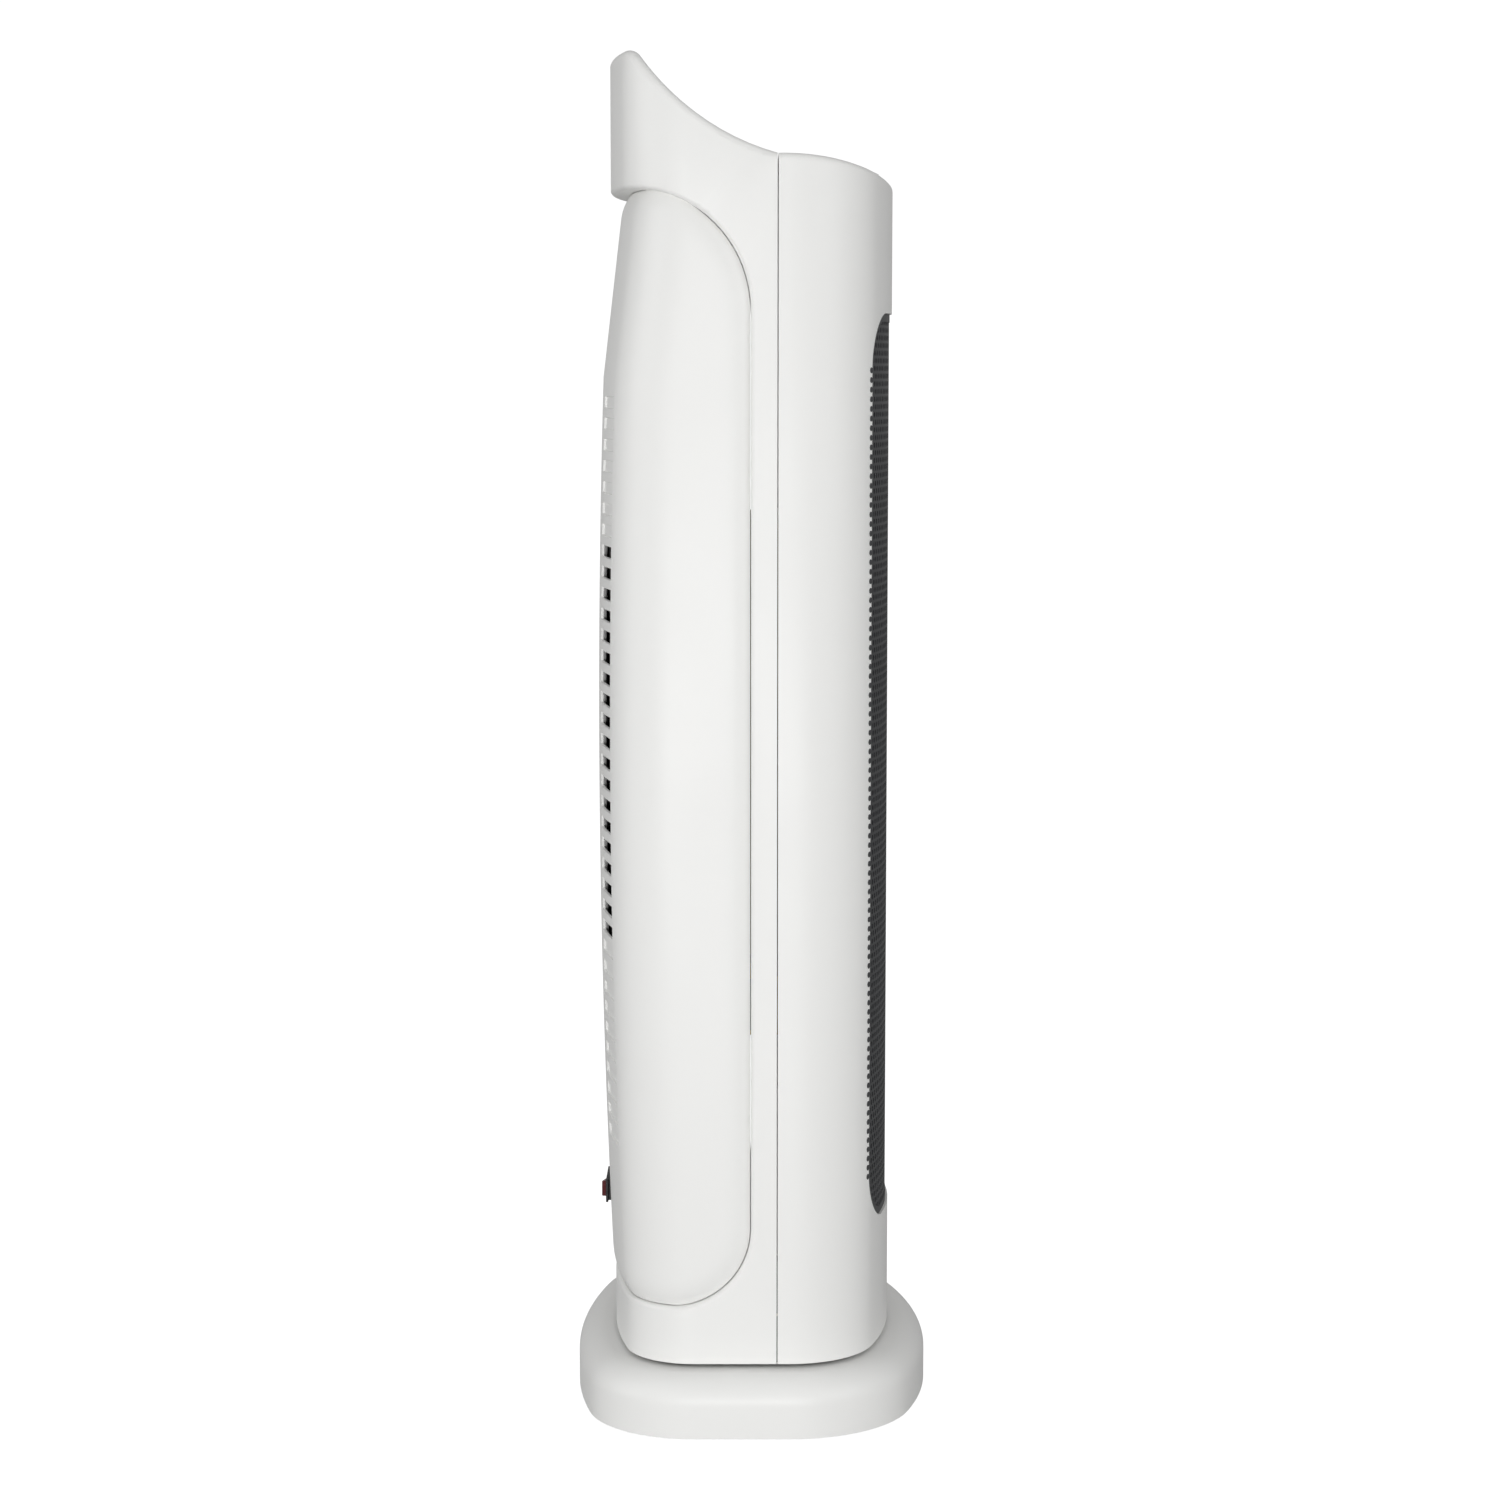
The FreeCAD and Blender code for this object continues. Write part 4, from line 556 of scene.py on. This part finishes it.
def run_tree(name, tree, values):
    """Evaluates a tree on an empty mesh and returns the result as a plain mesh object."""
    holder = link_object(name + "_maker", bpy.data.meshes.new(name + "_maker"))
    modifier = holder.modifiers.new("maker", "NODES")
    modifier.node_group = tree
    for item in tree.interface.items_tree:
        if item.in_out == "INPUT" and item.name in values:
            modifier[item.identifier] = values[item.name]
    shown = bpy.context.evaluated_depsgraph_get()
    mesh = bpy.data.meshes.new_from_object(holder.evaluated_get(shown))
    mesh.name = name
    bpy.data.objects.remove(holder)
    return link_object(name, mesh)


half = GRILLE_HALF - GRILLE_RIM + SHEET_LAP
foot, head = GRILLE_FOOT + GRILLE_RIM - SHEET_LAP, GRILLE_HEAD - GRILLE_RIM + SHEET_LAP
corner = GRILLE_CORNER - GRILLE_RIM
sheet_arc = GRILLE_ARC - SHEET_SINK
sheet_y = GRILLE_CENTRE_Y - sheet_arc
row_step = HOLE_PITCH * math.sqrt(3) / 2
columns = int(2 * half / HOLE_PITCH) + 2
tile = hole_tile()
pierced = run_tree("pierced_outlet_sheet", pierced_sheet_tree(tile), {
    "Columns": float(columns), "Count": columns * math.ceil((head - foot) / row_step),
    "First": (-columns / 2 * HOLE_PITCH, sheet_y, foot + row_step / 2),
    "Step": (HOLE_PITCH, 0.0, row_step), "Middle": (0.0, sheet_y, (foot + head) / 2),
    "Core": (half - corner, 0.0, (head - foot) / 2 - corner),
    "Limit": corner + HOLE_PITCH * TILE_LIMIT, "Arc": sheet_arc,
    "Arc Centre": (0.0, GRILLE_CENTRE_Y, 0.0)})
bpy.data.objects.remove(tile)
rim_mesh = grille_rim()
rim_mesh.materials.append(grille_grey)
rim = link_object("outlet_grille_rim", rim_mesh)
for piece in (pierced, rim):
    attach(piece, "tower")
    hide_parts("front_grille")


# ------------------------------------------------------------------ grille edge openings
# A row of small round openings in the shell beside each upright edge of the
# grille, drawn as dark discs that stand about 0.1 mm out of the shell's face.
# Their dark grey is painted shade that stands for the inside of the openings,
# which are not cut through the shell.
OPENING_PITCH, OPENING_RADIUS, OPENING_SIDES = 4.0 * MM, 1.25 * MM, 10
OPENING_X, DISC_DEEP, DISC_SINK = 58.9 * MM, 0.9 * MM, 0.35 * MM


def edge_shade_disc_tree():
    """Short round discs of painted shade in two upright rows, each facing out of the shell."""
    tree = bpy.data.node_groups.new("edge_opening_shade_discs", "GeometryNodeTree")
    tree.interface.new_socket("Geometry", in_out="OUTPUT", socket_type="NodeSocketGeometry")
    for name, kind in (("Radius", "Float"), ("Depth", "Float"), ("Count", "Int"),
                       ("Foot", "Vector"), ("Step", "Vector"), ("Facing", "Vector")):
        tree.interface.new_socket(name, in_out="INPUT", socket_type="NodeSocket" + kind)
    start = add(tree, "NodeGroupInput").outputs
    disc = add(tree, "GeometryNodeMeshCylinder",
               {"Vertices": OPENING_SIDES, "Radius": start["Radius"], "Depth": start["Depth"]})
    rows = add(tree, "GeometryNodeJoinGeometry")
    for side in (1, -1):
        foot = add(tree, "ShaderNodeVectorMath",
                   {"operation": "MULTIPLY", 0: start["Foot"], 1: (side, 1, 1)})
        facing = add(tree, "ShaderNodeVectorMath",
                     {"operation": "MULTIPLY", 0: start["Facing"], 1: (1, 1, side)})
        line = add(tree, "GeometryNodeMeshLine",
                   {"Count": start["Count"], "Start Location": foot, "Offset": start["Step"]})
        discs = add(tree, "GeometryNodeInstanceOnPoints",
                    {"Points": line, "Instance": disc, "Rotation": facing})
        tree.links.new(discs.outputs[0], rows.inputs[0])
    real = add(tree, "GeometryNodeRealizeInstances", {"Geometry": rows})
    # The discs take the grille's dark grey as painted shade for the insides of the holes.
    coloured = add(tree, "GeometryNodeSetMaterial", {"Geometry": real, "Material": grille_grey})
    add(tree, "NodeGroupOutput", {"Geometry": coloured})
    return tree


corner_x = HALF - SHELL_CORNER
corner_y = GRILLE_CENTRE_Y - math.sqrt((SHELL_ARC - SHELL_CORNER) ** 2 - corner_x ** 2)
facing = math.asin((OPENING_X - corner_x) / SHELL_CORNER)
opening_y = corner_y - SHELL_CORNER * math.cos(facing) + DISC_SINK
opening_foot, opening_head = GRILLE_FOOT + GRILLE_CORNER, GRILLE_HEAD - GRILLE_CORNER
edge_opening_shade_discs = run_tree("grille_edge_openings", edge_shade_disc_tree(), {
    "Radius": OPENING_RADIUS, "Depth": DISC_DEEP,
    "Count": int((opening_head - opening_foot) / OPENING_PITCH) + 1,
    "Foot": (OPENING_X, opening_y, opening_foot), "Step": (0.0, 0.0, OPENING_PITCH),
    "Facing": (math.radians(90), 0.0, facing)})
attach(edge_opening_shade_discs, "tower")
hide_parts("front_grille")

# ------------------------------------------------------------------ base
# Wide low foot moulded in the same white ABS, closed below by a black plate that
# carries four rubber feet; the swivel gear drive and tip-over switch sit inside.
moulding("base_housing", white_abs)

# Black ABS: the usual hidden or underside moulding, satin with a coarse texture.
black_abs = moulded_plastic("satin_black_abs", "1B1B1D", 0.5, 1.1, 0.02)
for node in ("base_plate", "cord_gland", "tower_bottom", "rocker_body"):
    moulding(node, black_abs)
# Black rubber: dull, with almost no highlight.
foot_rubber = moulded_plastic("matt_black_rubber", "161616", 0.82, 0.6, 0.03, specular=0.3)
moulding("rubber_feet", foot_rubber, edge=0.5)

# ------------------------------------------------------------------ main rocker switch
# Mains switch on the rear, near the bottom: a glossy dark red polycarbonate paddle
# in a black bezel. Its gloss gives the only sharp highlight on the rear.
rocker_red = moulded_plastic("gloss_dark_red_polycarbonate", "5A0F14", 0.18, 2.0, 0.002,
                             specular=0.5, coat=0.3)
moulding("main_rocker", rocker_red, edge=0.5)

# ------------------------------------------------------------------ control panel
# White insert on the domed top with a smoked window over the display and five
# round push buttons.
moulding("control_panel", white_abs)
# Grey ABS: satin, a few shades darker than the case, so that the buttons stand out.
button_grey = moulded_plastic("satin_grey_abs", "A9ABAD", 0.4, 0.7, 0.008)
for node in ("power_button", "mode_button", "swing_button", "timer_button",
             "thermostat_button"):
    moulding(node, button_grey, edge=0.3)
# Smoked acrylic: polished and almost black, so that it mirrors the lamps.
window_acrylic = moulded_plastic("smoked_acrylic", "0A0A0C", 0.06, 3.0, 0.001, coat=0.5)
moulding("display_window", window_acrylic, edge=0.15)


# ------------------------------------------------------------------ inside pieces
# The drive, blower, element and electronics, seen only through the louvres, the
# grille and the gap under the tower, each in the finish that such a piece has.
def plain_metal(name, colour, roughness, streak):
    """Metal: streak is the spacing of its drawing or rolling marks in mm."""
    material, tree = new_material(name)
    place = add(tree, "ShaderNodeTexCoord").outputs["Object"]
    stretch = add(tree, "ShaderNodeMapping", {"Scale": (1.0, 1.0, 0.12), "Vector": place})
    marks = add(tree, "ShaderNodeTexNoise",
                {"Scale": 1 / (streak * MM), "Detail": 3.0, "Vector": stretch}).outputs["Fac"]
    shine = add(tree, "ShaderNodeMapRange",
                {"To Min": roughness * 0.8, "To Max": roughness * 1.2, "Value": marks})
    bump = add(tree, "ShaderNodeBump",
               {"Strength": 0.3, "Distance": 0.01 * MM, "Height": marks})
    skin = add(tree, "ShaderNodeBsdfPrincipled",
               {"Base Color": linear(colour), "Metallic": 1.0, "Roughness": shine,
                "Normal": bump})
    add(tree, "ShaderNodeOutputMaterial", {"Surface": skin})
    return material


def paint(material, *names):
    """Gives CAD nodes a finish in place of the plain one they come with."""
    for name in names:
        mesh = nodes[name].data
        mesh.materials.clear()
        mesh.materials.append(material)


# Zinc-plated steel: cool pale grey and half bright.
paint(plain_metal("zinc_plated_steel", "C2C5C9", 0.34, 0.8), "base_screws", "hub_gear_screws",
      "floor_screws", "swing_motor", "fan_shaft", "motor_bolts")
# Electrical steel: darker and duller, as the cut edges of a stack of sheets are.
paint(plain_metal("laminated_electrical_steel", "74777B", 0.5, 0.5), "motor_stack", "motor_core")
# Rolled aluminium: pale and fairly bright, with fine streaks.
paint(plain_metal("rolled_aluminium", "D4D6D8", 0.36, 1.0), "fan_rotor", "motor_top_bridge",
      "motor_foot_bridge", "heater_fins")
# Brass: yellow and bright. Sintered bronze: brown and dull, because it is porous.
paint(plain_metal("brass_strip", "CDAA63", 0.3, 0.8), "terminal_tabs")
paint(plain_metal("sintered_bronze", "9A7B55", 0.6, 0.3), "shaft_bush")
# Natural nylon: cream and slightly waxy. Phenolic board: brown and faintly rough.
paint(moulded_plastic("natural_nylon", "E0D9C6", 0.5, 0.8, 0.01), "hub_gear", "wear_ring",
      "swing_pinion", "tip_plunger", "motor_spacers")
paint(moulded_plastic("brown_phenolic_board", "8B6B48", 0.6, 0.9, 0.02), "lower_deck",
      "upper_deck", "scroll_wall", "scroll_tongue", "outlet_duct")
# Woven nylon dust screen: black, with its mesh drawn coarser than real so that it shows.
paint(moulded_plastic("black_woven_nylon", "0D0D0E", 0.75, 1.0, 0.08, specular=0.25),
      "inlet_screen")
# Fired ceramic: chalky off-white. Coil tape: yellow with a soft shine. Solder mask:
# green and fairly glossy.
paint(moulded_plastic("fired_ceramic", "D6D1C2", 0.7, 0.4, 0.02), "ceramic_bars")
paint(moulded_plastic("yellow_coil_tape", "D2AC45", 0.45, 1.5, 0.02), "motor_coil")
paint(moulded_plastic("green_solder_mask", "14562F", 0.3, 1.0, 0.006), "control_board")
paint(black_abs, "tip_switch", "heater_frame", "thermal_cutout", "tact_switches",
      "display_module")

bpy.context.view_layer.update()
